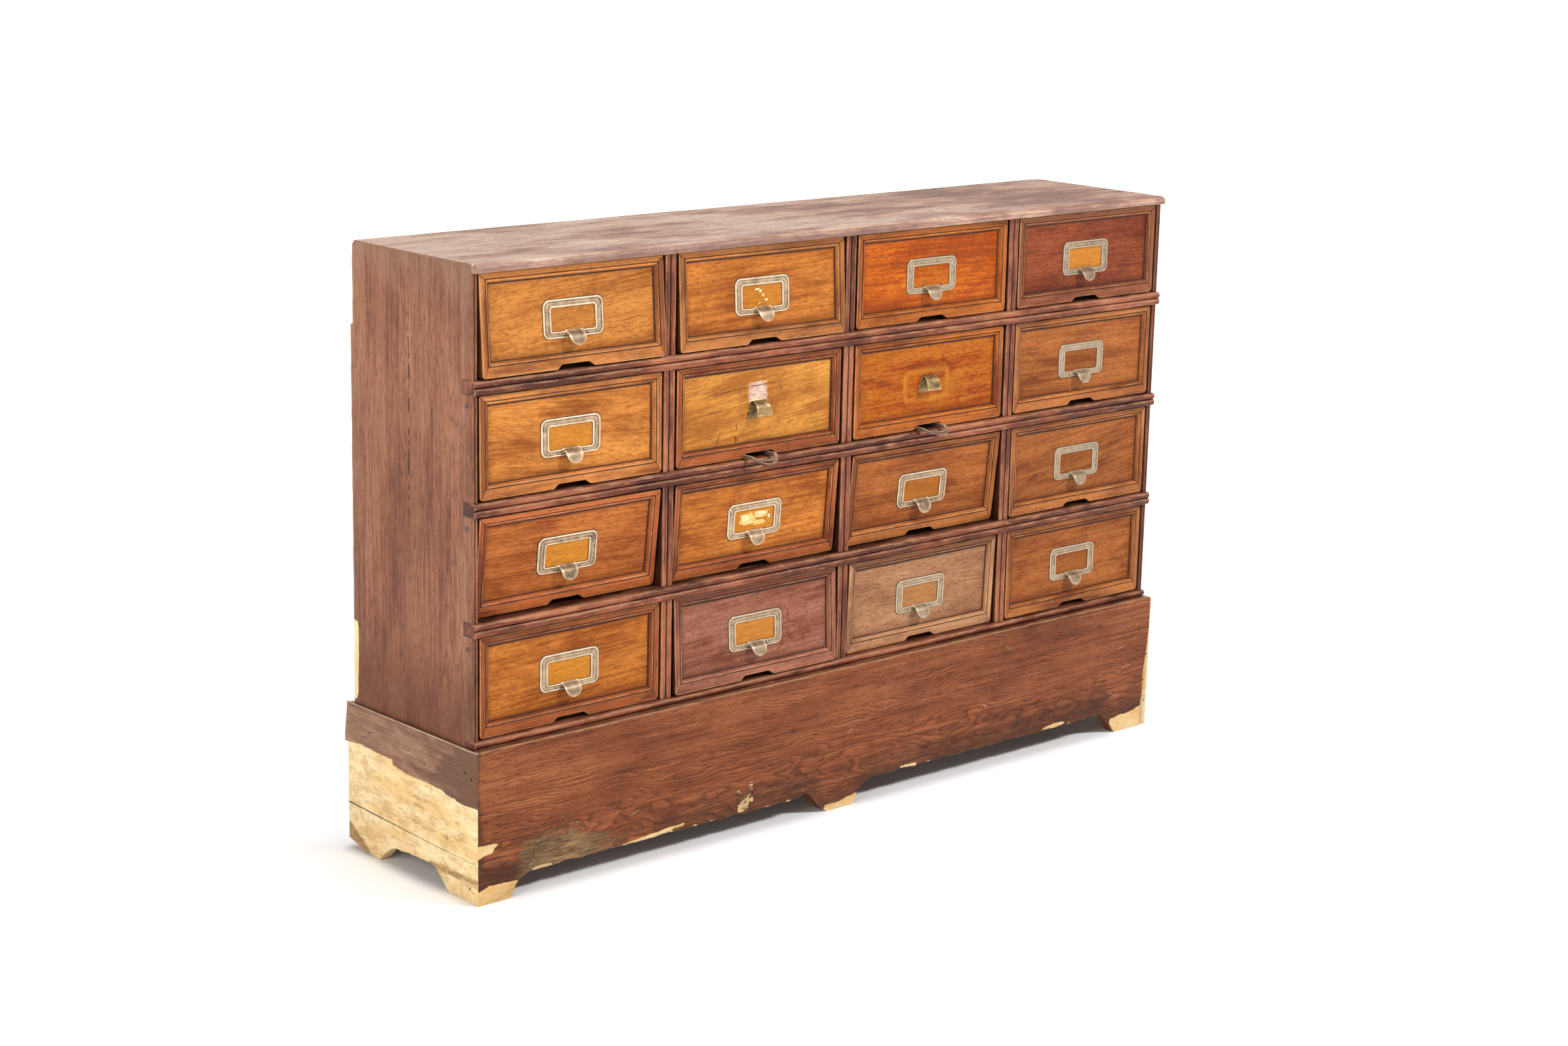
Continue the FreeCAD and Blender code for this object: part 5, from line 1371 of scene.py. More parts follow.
def frame_members(P, low, seed, kind, warp=0.0, cell=None):
    """Four mitred members about the hinge axis; low: bottom edge."""
    wS, wT, wB = 15.0, 13.4, 20.5
    pS, pT, pB = member_profile(wS), member_profile(wT), member_profile(wB)
    K = len(pS)
    # the bottom member's inner bead starts later and is broader
    ds, dt, db = pS[:, 0], pT[:, 0], pB[:, 0]
    top, bot = 10.0, low
    rgn = rnd(seed)

    def corner(v, inset):
        """Rounds the two lower outer corners."""
        R = 5.0
        for sx in (-1, 1):
            cx, cz = sx * (HW - R), bot + R
            dx, dz = (v[:, 0] - cx) * sx, cz - v[:, 2]
            on = (dx > 0) & (dz > 0)
            rad = np.maximum(R - inset, 0.01)
            ln = np.hypot(dx, dz)
            f = np.where(on & (ln > rad), rad / np.maximum(ln, 1e-6), 1.0)
            v[:, 0] = np.where(on, cx + sx * dx * f, v[:, 0])
            v[:, 2] = np.where(on, cz - dz * f, v[:, 2])
        return v

    for which in ("top", "left", "right", "bottom"):
        prof = {"top": pT, "left": pS, "right": pS, "bottom": pB}[which]
        gap = 0.10 + 0.16 * rgn.rand()
        if which in ("top", "bottom"):
            zz = top - dt if which == "top" else bot + db
            x0, x1 = -HW + ds + gap, HW - ds - gap
            if which == "top":
                sx = [0, .6, 1.6, 4, 8]
                L = 2 * HW
                mid = list(np.linspace(14, L - 14, 24))
            else:
                sx = [0, .6, 1.4, 2.4, 3.6, 5, 8]
                L = 2 * HW
                mid = list(np.linspace(14, 116, 9)) + list(np.arange(119, 191, 1.6)) + list(np.linspace(194, L - 14, 9))
            ss = np.array(sx + mid + [L - q for q in reversed(sx)]) / L
            v = np.zeros((len(ss), K, 3))
            for i, s in enumerate(ss):
                v[i, :, 0] = x0 + (x1 - x0) * s
                v[i, :, 1] = prof[:, 1]
                v[i, :, 2] = zz
            if which == "bottom":
                X = v[:, :, 0]
                h = notch_h(X, kind)
                v[:, :, 2] += h * np.clip(1 - db[None, :] / 13.5, 0, 1)
            ends = np.minimum(ss, 1 - ss) * L
            gax = 0
        else:
            sgn = -1 if which == "left" else 1
            xx = sgn * (HW - ds)
            z0, z1 = bot + db + gap, top - dt - gap
            L = top - bot
            sx = [0, .6, 1.4, 2.4, 3.6, 5, 8]
            mid = list(np.linspace(14, L - 14, 12))
            ss = np.array(sx + mid + [L - q for q in reversed(sx)]) / L
            v = np.zeros((len(ss), K, 3))
            for i, s in enumerate(ss):
                v[i, :, 0] = xx
                v[i, :, 1] = prof[:, 1]
                v[i, :, 2] = z0 + (z1 - z0) * s
            ends = np.minimum(ss, 1 - ss) * L
            gax = 2
        n = len(ss)
        inset = np.tile(prof[:, 0], n)
        vv = v.reshape(-1, 3)
        vv = corner(vv, inset)
        m = np.zeros((n, K, 3))
        m[:, :, 0] = prof[None, :, 2]
        m[:, :, 1] = np.maximum(prof[None, :, 3], (.9 * np.exp(-ends / .8))[:, None])
        m[:, :, 2] = {"left": -.15, "right": .25, "top": .15, "bottom": .5}[which] + .35 * rgn.rand()
        # per-flap tone of the left stile; on the top member, painted light and shade
        m[:, :, 2] += {"left": LEFT_TONE, "top": TOP_MEMBER_LIGHT_SHADE}.get(which, {}).get(cell, 0.0)
        if which == "bottom":
            nn = (notch_h(v[:, :, 0], kind) > .4) & (inset.reshape(n, K) < 4)
            m[:, :, 0] = np.where(nn, np.maximum(m[:, :, 0], .35), m[:, :, 0])
        if warp:
            front = vv[:, 1] < -2
            vv[:, 1] += np.where(front, wob(vv[:, gax], seed + 9, 180, warp), 0)
        g = np.zeros_like(vv)
        g[:, 0] = vv[:, gax] + rgn.rand() * 9000
        g[:, 1] = vv[:, 2 - gax] + (rgn.rand() - .5) * 160
        g[:, 2] = vv[:, 1] + 12 + rgn.rand() * 60
        faces = []
        for i in range(n - 1):
            for j in range(K):
                a, c = i * K + j, i * K + (j + 1) % K
                faces.append((a, c, c + K, a + K))
        faces.append(tuple(range(K)))
        faces.append(tuple(range((n - 1) * K, n * K)))
        P.add(vv, faces, g, m.reshape(-1, 3), None, 0)


def rect_sd(x, z, x0, x1, z0, z1, rad=0.0):
    qx = np.abs(x - (x0 + x1) / 2) - (x1 - x0) / 2 + rad
    qz = np.abs(z - (z0 + z1) / 2) - (z1 - z0) / 2 + rad
    return -(np.hypot(np.maximum(qx, 0), np.maximum(qz, 0)) + np.minimum(np.maximum(qx, qz), 0) - rad)


LPZ, CPZ = -60.5, -66.0


def panel_grid(P, low, seed, cell):
    """The panel: front grid of 4 mm cells, back and rim."""
    x0, x1 = -HW + 14.0, HW - 14.0
    z0, z1 = low + 19.6, 10 - 12.5
    nx, nz = int((x1 - x0) / 4.0), int((z1 - z0) / 4.0)
    xs, zs = np.linspace(x0, x1, nx + 1), np.linspace(z0, z1, nz + 1)
    XX, ZZ = np.meshgrid(xs, zs, indexing="ij")
    x, z = XX.ravel(), ZZ.ravel()
    rg = rnd(seed)
    bulge = wob(x, seed + 1, 260, .22) + wob(z, seed + 2, 130, .18)
    yf = -0.02 + np.abs(bulge) * .6
    nF = len(x)
    vf = np.stack([x, yf, z], 1)
    vb = np.stack([x, np.full(nF, 6.0), z], 1)
    v = np.concatenate([vf, vb])
    idx = lambda i, j: i * (nz + 1) + j
    faces = []
    for i in range(nx):
        for j in range(nz):
            q = (idx(i, j), idx(i + 1, j), idx(i + 1, j + 1), idx(i, j + 1))
            faces.append(q)
            faces.append(tuple(nF + w for w in reversed(q)))
    for i in range(nx):
        for j in (0, nz):
            a, c = idx(i, j), idx(i + 1, j)
            faces.append((a, c, c + nF, a + nF))
    for j in range(nz):
        for i in (0, nx):
            a, c = idx(i, j), idx(i, j + 1)
            faces.append((a, c, c + nF, a + nF))
    # distance to the visible opening of the frame
    inner = np.minimum(np.minimum(x + HW - 15, HW - 15 - x), np.minimum(z - low - 20.5, 10 - 13.4 - z))
    m = np.zeros((2 * nF, 3))
    m[:nF, 1] = np.clip(.9 * np.exp(-np.maximum(inner, 0) / 1.3), 0, 1)
    m[:, 2] = rg.rand()
    pt = np.zeros((2 * nF, 3))
    pt[:, 0] = -40
    pt[:, 1] = -40
    edge = np.exp(-np.maximum(inner, 0) / 15.0)
    low_part = np.exp(-np.maximum(z - low - 20.5, 0) / 22.0)
    edge = np.exp(-np.maximum(inner, 0) / 7.0)
    pt[:nF, 2] = np.clip(.6 * edge + .3 * low_part, 0, 1)
    r_, c = cell
    pt[:nF, 1] = rect_sd(x, z, -37, 37, LPZ - 17, LPZ + 15)
    # a dark rim round the holder plate: painted contact shadow and grime
    plate_shadow_and_grime = np.exp(-np.maximum(0, -rect_sd(x, z, -50, 50, LPZ - 26, LPZ + 26, 9)) / 2.0)
    if cell not in CUPS:
        pt[:nF, 2] = np.maximum(pt[:nF, 2], np.where(pt[:nF, 1] < 0, .45 * plate_shadow_and_grime, 0))
    if cell not in BRIGHT:
        pt[:nF, 2] = np.maximum(pt[:nF, 2], np.where(pt[:nF, 1] > 0, .42, 0))
    if cell == (2, 2):
        pt[:nF, 1] = -40
    if cell == (2, 3):
        # paler outline where another plate used to be
        o = rect_sd(x, z, -51, 45, CPZ - 23, CPZ + 26, 9)
        i_ = rect_sd(x, z, -43.5, 37.5, CPZ - 15.5, CPZ + 18.5, 6)
        pt[:nF, 1] = np.minimum(o, -i_)
    if cell == (2, 2):
        pt[:nF, 0] = rect_sd(x, z, -19, 16, CPZ + 14, CPZ + 43)
    if cell == (4, 2):
        pt[:nF, 0] = rect_sd(x, z, 44, 104, -92, -18)
    tilt = {(1, 1): .09, (2, 1): -.07, (2, 2): .10, (3, 4): .14, (2, 3): .05}.get(cell, (rg.rand() - .5) * .12)
    g = np.zeros_like(v)
    g[:, 0] = v[:, 0] + rg.rand() * 9000
    g[:, 1] = v[:, 2] - v[:, 0] * tilt + (rg.rand() - .5) * 240
    g[:, 2] = v[:, 1] + 30 + rg.rand() * 130
    P.add(v, faces, g, m, pt, 0)


# cracks and marks of single panels: (x, z) points from the hinge axis, width
MARKS = {
    (3, 4): [([(-125, -86), (-90, -72), (-62, -66)], 1.0, 1), ([(-70, -110), (-30, -92), (10, -78), (40, -70)], .8, 1),
             ([(60, -70), (110, -48), (126, -40)], .7, 1)],
    (2, 2): [([(-132, -40), (-92, -35), (-18, -29), (20, -28), (60, -27)], .9, 1), ([(-40, -78), (-41, -92)], 1.0, 1),
             ([(-42, -96), (-42, -108)], 1.3, 1), ([(-38, -98), (-38, -107)], 1.2, 1), ([(-71, -92), (-76, -101), (-77, -108)], 1.1, 1),
             ([(57, -85), (57, -93)], 1.3, 1), ([(61, -84), (61, -92)], 1.3, 1), ([(42, -33), (45, -41)], 1.1, 1),
             ([(-120, -62), (-60, -58)], .5, 1)],
    (4, 4): [([(-100, -92), (-20, -86), (60, -83), (120, -76)], .7, 1), ([(-60, -30), (-48, -52)], .5, 2)],
    (3, 3): [([(-80, -80), (-20, -77), (20, -79)], .5, 1)],
    (3, 1): [([(-110, -30), (-60, -27)], .5, 1)],
    (1, 1): [([(-42, -96), (-36, -99), (-22, -98)], .6, 1)],
    (4, 2): [([(-100, -34), (-84, -52)], .5, 2)],
    (1, 4): [([(30, -40), (36, -60)], .6, 2), ([(-96, -88), (-60, -84)], .4, 1)],
    (2, 4): [([(-20, -28), (30, -26)], .4, 1)],
}
for (r_, c) in CELLS:
    t = "r%dc%d" % (r_, c)
    low = -117.6 - 12.6 if r_ > 1 else -127.6
    if r_ > 1:
        low = -130.2
    at = (COL[c], 13.0, ZT[r_] - 12.0)
    lean = LEAN.get((r_, c), 0.0)
    body = "front_" + t
    P = Piece()
    frame_members(P, low, 900 + r_ * 20 + c * 3, 1 if (r_, c) == (2, 2) else 0, warp=.12, cell=(r_, c))
    rs = rnd(950 + r_ * 10 + c)
    for i in range(5):
        # rubbed nicks on the frame face
        x0 = (rs.rand() - .5) * 280
        z0 = low + 3 + 9 * rs.rand()
        if abs(x0) < 42:
            continue
        ln = 3 + 16 * rs.rand()
        pth = poly_path([(x0, -5.5, z0), (x0 + ln, -5.5, z0 + rs.randn() * 1.5)], 960 + i, .2, 3)
        pth = pth[(abs(pth[:, 0]) < 148)]
        if len(pth) > 2:
            ribbon(P, pth, [0, .3 + .5 * rs.rand(), 0], (0, -1, 0), 1, 970 + i, lift=.2)
    P.build("flap_%s_frame" % t, body, [M["frame", r_, c], M["lightscr"]], ["flap_" + t], at=at, lean=lean)
    P = Piece()
    panel_grid(P, low, 1000 + r_ * 20 + c * 3, (r_, c))
    for i, (pts, w, kind) in enumerate(MARKS.get((r_, c), [])):
        pth = poly_path([(a, -.02, b_) for a, b_ in pts], 1100 + i + r_ * 7, .35, 3)
        ribbon(P, pth, [0, w, w, 0], (0, -1, 0), kind, 1120 + i, lift=.12)
    for i in range(7):
        x0, z0 = (rs.rand() - .5) * 240, low + 28 + (110 - 28) * rs.rand() * .8
        ln, a = 3 + 22 * rs.rand() ** 2, rs.randn() * .6
        pth = poly_path([(x0, -.02, z0), (x0 + ln * math.cos(a), -.02, z0 + ln * math.sin(a))], 1150 + i, .2, 3)
        pth = pth[(abs(pth[:, 0]) < 134) & (pth[:, 2] > low + 24) & (pth[:, 2] < -8)]
        if len(pth) > 2:
            ribbon(P, pth, [0, .25 + .35 * rs.rand(), 0], (0, -1, 0), 1 if rs.rand() < .6 else 2, 1170 + i, lift=.12)
    if (r_, c) == (1, 2):
        for q, (x0, z0, w, h) in enumerate([(-9, 9, 9, 3), (-3, 6, 5, 4), (2, 0, 4, 5), (8, -7, 6, 3), (-5, -11, 4, 2)]):
            scrap(P, x0, LPZ + z0, w, h, 1190 + q, 3)
    if (r_, c) == (3, 2):
        for q, (x0, z0, w, h) in enumerate([(-12, 2, 34, 20), (12, 6, 32, 12), (10, -6, 26, 9), (-17, 3, 16, 9), (14, 8, 18, 4), (28, 1, 5, 6)]):
            scrap(P, x0, LPZ + z0, w, h, 1196 + q, 5 if q < 3 else 3, y=-.14 - .03 * q)
    if (r_, c) == (2, 2):
        for q, (x0, z0, w, h) in enumerate([(-4, 16.5, 29, 3.0), (-8, 20, 14, 2.0)]):
            scrap(P, x0, CPZ + z0, w, h, 1204 + q, 3, y=-.14 - .04 * q, jagged=.3)
    # dark lines along the frame's bead on the panel: painted shadow of the bead, with some dirt; widest at the sides
    # and top, thinnest at the bottom
    ex, e0, e1 = HW - 15.0, low + 20.5, 10 - 13.4
    for q, (pa, pb, w) in enumerate([((.6 - ex, e0), (.7 - ex, e1), 2.1), ((ex - .8, e0), (ex - .8, e1), 2.4),
                                     ((-ex, e1 - .8), (ex, e1 - .8), 2.3), ((-ex, e0 + .4), (ex, e0 + .4), 1.1)]):
        pth = poly_path([(pa[0], -.02, pa[1]), (pb[0], -.02, pb[1])], 1240 + q + r_ * 5 + c * 31, .12, 6)
        ribbon(P, pth, [w * k for k in (1, .8, 1.1, .7, 1, .9, 1.1, .8, 1)], (0, -1, 0), 4, 1250 + q, lift=.3)
    P.build("flap_%s_panel" % t, body, [M["panel", r_, c], M["crack"], M["lightscr"], M["paper"], M["grime"], M["glue"]],
            ["flap_" + t],
            at=at, lean=lean)

# ------------------------------------------------------------------ metal


def rrect(hx, hz, cz, R, nc=8, nx=14, nz=7):
    """Points round a rounded rectangle, same count for any size."""
    out = []
    for k, (sx, sz) in enumerate([(1, 1), (-1, 1), (-1, -1), (1, -1)]):
        cx_, cz_ = sx * (hx - R), cz + sz * (hz - R)
        a0 = [0, 90, 180, 270][k]
        for i in range(nc + 1):
            a = math.radians(a0 + 90 * i / nc)
            out.append((cx_ + R * math.cos(a), cz_ + R * math.sin(a)))
        nxt = [(-1, 1), (-1, -1), (1, -1), (1, 1)][k]
        nx_, nz_ = nxt[0] * (hx - R), cz + nxt[1] * (hz - R)
        a = math.radians(a0 + 90)
        p0 = (cx_ + R * math.cos(a), cz_ + R * math.sin(a))
        p1 = (nx_ + R * math.cos(a), nz_ + R * math.sin(a))
        cnt = nx if k in (0, 2) else nz
        for i in range(1, cnt):
            f = i / cnt
            out.append((p0[0] + (p1[0] - p0[0]) * f, p0[1] + (p1[1] - p0[1]) * f))
    return np.array(out)


# (share of the way from outer edge to window, height over the panel, wear, soil); the soil at the plate's outer edge
# and round the window is dirt and painted contact shadow
PRESS = [(-.075, .02, 0, 1), (-.02, .06, 0, 1), (0.0, .15, .1, .8), (0.0, .55, .4, .3), (.015, 1.0, .8, 0), (.05, 1.35, 1, 0),
         (.10, 1.55, 1, 0), (.15, 1.5, .9, 0), (.20, 1.2, .3, .3), (.245, .85, 0, .6), (.29, .76, .1, .3), (.36, .74, .3, .05),
         (.5, .76, .4, 0), (.64, .78, .3, 0), (.71, .80, .1, .25), (.755, .9, .05, .5), (.80, 1.25, .5, .1), (.85, 1.5, .9, 0),
         (.90, 1.55, 1, 0), (.95, 1.4, .9, 0), (.985, 1.0, .6, .1), (1.0, .5, .1, .6), (1.0, .05, 0, 1), (1.05, .02, 0, 1)]
TONGUE = [(-.75, -15.5), (-1.6, -17.2), (-3.4, -18.4), (-6.0, -19.6), (-8.4, -21.6), (-10.2, -24.4), (-11.4, -27.8),
          (-12.1, -31.2), (-12.5, -34.2), (-12.6, -36.0)]


def holder(P, tone, seed):
    rings, mk = [], []
    for t, h, w, s in PRESS:
        hx, hz, cz, R = 50.5 + (37 - 50.5) * t, 26 + (16 - 26) * t, -1.0 * t, 9.6 + (3.0 - 9.6) * t
        q = rrect(hx, hz, cz, R)
        q = q.copy()
        rings.append(np.stack([q[:, 0], np.full(len(q), -h), q[:, 1] + LPZ], 1))
        mk.append(np.tile([w, s, tone], (len(q), 1)))
    K = len(rings[0])
    v, m = np.concatenate(rings), np.concatenate(mk)
    # plain raised outline on the top bar
    x, z = v[:, 0], v[:, 2] - LPZ
    sd = rect_sd(x, z, -27, 27, 17.3, 23.4, 3.0)
    flat = (v[:, 1] > -1.0) & (z > 16.6)
    v[:, 1] -= np.where(flat, .22 * np.exp(-((sd - .2) / .9) ** 2), 0)
    dent = wob(v[:, 0] * .7 + v[:, 2], seed, 55, .12)
    v[:, 1] += np.where(v[:, 1] < -.6, dent, 0)
    faces = []
    for i in range(len(rings) - 1):
        for j in range(K):
            a, c = i * K + j, i * K + (j + 1) % K
            faces.append((a, c, c + K, a + K))
    P.add(v, faces, v + rnd(seed).rand(3) * 300, m)
    # curled finger tongue
    T = np.array(TONGUE)
    d = np.r_[0, np.cumsum(np.hypot(*np.diff(T, axis=0).T))]
    n, W = 26, 14
    s = np.linspace(0, d[-1], n)
    yy, zz = np.interp(s, d, T[:, 0]), np.interp(s, d, T[:, 1])
    ty, tz = np.gradient(yy), np.gradient(zz)
    ln = np.hypot(ty, tz)
    ny, nz_ = tz / ln, -ty / ln            # towards the front
    for side, off in ((0, 0.0), (1, .9)):
        pass
    R = 13.6
    zc = -36.0 + R
    rows = []
    for i in range(n):
        half = 13.6 if zz[i] > zc else math.sqrt(max(R * R - (zc - zz[i]) ** 2, 0.0))
        if zz[i] > -21:
            half += .9 * min(1.0, (zz[i] + 21) / 4.0)
        xx = np.linspace(-1, 1, W + 1) * max(half, .35)
        dish = .5 * (1 - (xx / 14.0) ** 2) * min(1.0, s[i] / 9.0)
        rows.append(np.stack([xx, yy[i] - dish, np.full(W + 1, zz[i] + LPZ)], 1))
    F = np.array(rows)
    Bk = F.copy()
    Bk[:, :, 1] -= ny[:, None] * .85
    Bk[:, :, 2] -= nz_[:, None] * .85
    v = np.concatenate([F.reshape(-1, 3), Bk.reshape(-1, 3)])
    v[:, 1] = np.minimum(v[:, 1], -.05)
    N = n * (W + 1)
    idx = lambda i, j: i * (W + 1) + j
    faces = []
    for i in range(n - 1):
        for j in range(W):
            q = (idx(i, j), idx(i + 1, j), idx(i + 1, j + 1), idx(i, j + 1))
            faces.append(q)
            faces.append(tuple(N + w for w in reversed(q)))
        for j in (0, W):
            a, c = idx(i, j), idx(i + 1, j)
            faces.append((a, c, c + N, a + N))
    for j in range(W):
        for i in (0, n - 1):
            a, c = idx(i, j), idx(i, j + 1)
            faces.append((a, c, c + N, a + N))
    e = np.abs(np.linspace(-1, 1, W + 1))
    m = np.zeros((n, W + 1, 3))
    m[:, :, 0] = .12 + .8 * np.maximum(e[None, :] ** 6, np.exp(-(d[-1] - s)[:, None] / 2.0))
    m[:, :, 1] = .6 * np.exp(-s / 2.5)[:, None]
    m[:, :, 2] = tone
    mb = m.copy()
    mb[:, :, 1] = .45
    P.add(v, faces, v + rnd(seed + 1).rand(3) * 300, np.concatenate([m.reshape(-1, 3), mb.reshape(-1, 3)]))


def pins(P, tone, cup=False):
    head = [(2.6, -.05, 0, 1), (2.0, .02, 0, .9), (1.75, .15, .5, .3), (1.6, .6, .8, 0), (1.1, .9, .9, 0), (.5, 1.0, .9, 0), (.1, 1.0, .9, 0)]
    where = [(-45, 12), (45, 11), (-23, -21), (23, -21)]
    base = -.8
    if cup:
        return
    for i, (x, z) in enumerate(where):
        lathe(P, head, (x, base, LPZ + z), (0, -1, 0), seg=14, seed=i, tone=tone, rotz=i)


def hinge_pins(P):
    for s in (-1, 1):
        # brass pivot pin between stile and divider
        lathe(P, [(1.5, 0, .2, .2), (1.5, 9, .2, .2), (1.5, 17.5, .2, .2), (1.1, 18, .5, 0)],
              (s * (HW - 8), 0, 0), (s, 0, 0), seg=14, seed=9, tone=.4)


def hood(P, tone, seed):
    # back plate: a trapezoid of thin sheet with turned-out sides
    rows = []
    for i, z in enumerate(np.linspace(15.6, -9.0, 9)):
        f = (15.6 - z) / 24.6
        half = 13.5 + 8.3 * f
        xx = np.linspace(-half, half, 13)
        rows.append(np.stack([xx, np.full(13, -.85) - .12 * (np.abs(xx / half) > .8), np.full(13, CPZ + z)], 1))
    F = np.array(rows)
    Bk = F.copy()
    Bk[:, :, 1] = -.02
    v = np.concatenate([F.reshape(-1, 3), Bk.reshape(-1, 3)])
    N, W, n = F.shape[0] * 13, 12, F.shape[0]
    idx = lambda i, j: i * 13 + j
    faces = []
    for i in range(n - 1):
        for j in range(W):
            faces.append((idx(i, j), idx(i + 1, j), idx(i + 1, j + 1), idx(i, j + 1)))
        for j in (0, W):
            a, c = idx(i, j), idx(i + 1, j)
            faces.append((a, c, c + N, a + N))
    for j in range(W):
        for i in (0, n - 1):
            a, c = idx(i, j), idx(i, j + 1)
            faces.append((a, c, c + N, a + N))
    m = np.tile([.35, .25, tone * .6], (len(v), 1))
    P.add(v, faces, v + rnd(seed).rand(3) * 200, m)
    # the hood itself, open at both ends, wider towards its lip
    path = np.array([(-.9, 13.2), (-3.2, 12.9), (-6.0, 11.8), (-8.8, 9.6), (-11.0, 6.6), (-12.7, 2.8), (-13.9, -1.6), (-14.7, -6.0),
                     (-15.1, -9.2), (-15.0, -10.4)])
    path[:, 1] = (path[:, 1] - 13.2) * .85 + 15.0
    d = np.r_[0, np.cumsum(np.hypot(*np.diff(path, axis=0).T))]
    n, W = 26, 18
    s = np.linspace(0, d[-1], n)
    yy, zz = np.interp(s, d, path[:, 0]), np.interp(s, d, path[:, 1])
    ty, tz = np.gradient(yy), np.gradient(zz)
    ln = np.hypot(ty, tz)
    ny, nz_ = tz / ln, -ty / ln
    half = np.interp(s / d[-1], [0, .15, .5, 1], [10.5, 11.2, 12.8, 14.2])
    rows = []
    for i in range(n):
        xx = np.linspace(-1, 1, W + 1)
        rows.append(np.stack([xx * half[i], np.full(W + 1, yy[i]), np.full(W + 1, zz[i] + CPZ)], 1))
    F = np.array(rows)
    F[:, :, 1] += wob(F[:, :, 0] + 3 * F[:, :, 2], seed + 4, 16, .14)
    Bk = F.copy()
    Bk[:, :, 1] -= ny[:, None] * .9
    Bk[:, :, 2] -= nz_[:, None] * .9
    v = np.concatenate([F.reshape(-1, 3), Bk.reshape(-1, 3)])
    v[:, 1] = np.minimum(v[:, 1], -.1)
    N = n * (W + 1)
    idx = lambda i, j: i * (W + 1) + j
    faces = []
    for i in range(n - 1):
        for j in range(W):
            q = (idx(i, j), idx(i + 1, j), idx(i + 1, j + 1), idx(i, j + 1))
            faces.append(q)
            faces.append(tuple(N + w for w in reversed(q)))
        for j in (0, W):
            a, c = idx(i, j), idx(i + 1, j)
            faces.append((a, c, c + N, a + N))
    for j in range(W):
        for i in (0, n - 1):
            a, c = idx(i, j), idx(i, j + 1)
            faces.append((a, c, c + N, a + N))
    m = np.zeros((n, W + 1, 3))
    e = np.abs(np.linspace(-1, 1, W + 1))
    m[:, :, 0] = .35 + .6 * np.maximum(e[None, :] ** 8, np.exp(-(d[-1] - s)[:, None] / 1.5))
    m[:, :, 1] = .35 * np.exp(-s / 3.0)[:, None]
    m[:, :, 2] = tone
    mb = m.copy()
    # the hood's inner faces darker: painted shade inside the hood
    mb[:, :, 1] = .7
    P.add(v, faces, v + rnd(seed + 1).rand(3) * 200, np.concatenate([m.reshape(-1, 3), mb.reshape(-1, 3)]))
    dome = [(1.5, -.05, 0, .9), (1.2, .2, .6, 0), (.8, .6, .9, 0), (.2, .8, .9, 0)]
    for x, z in ((-17.6, 1.5), (-19.2, -5.5), (17.6, 1.5), (19.2, -5.5), (-3, 14.2)):
        lathe(P, dome, (x, -.8 if abs(x) > 5 else -3.0, CPZ + z), (0, -1, 0), seg=12, tone=.7, seed=int(z * 7) % 50)


for (r_, c) in CELLS:
    t = "r%dc%d" % (r_, c)
    at = (COL[c], 13.0, ZT[r_] - 12.0)
    lean = LEAN.get((r_, c), 0.0)
    body = "front_" + t
    tone = rnd(1300 + r_ * 10 + c).rand()
    if (r_, c) in CUPS:
        P = Piece()
        hood(P, tone, 1400 + c)
        P.build("cup_pull_%s" % t, body, [M["brass"]], ["cup_pull_pins_" + t], at=at, lean=lean)
        P = Piece()
        hinge_pins(P)
        P.build("hinge_pins_%s" % t, body, [M["pin"]], ["cup_pull_pins_" + t], at=at, lean=lean)
    else:
        P = Piece()
        holder(P, tone, 1420 + r_ * 10 + c)
        P.build("label_holder_%s" % t, body, [M["nickel", SHINE.get((r_, c), 1)]], ["label_pull_pins_" + t], at=at, lean=lean)
        P = Piece()
        pins(P, tone)
        hinge_pins(P)
        P.build("pins_%s" % t, body, [M["pin"]], ["label_pull_pins_" + t], at=at, lean=lean)

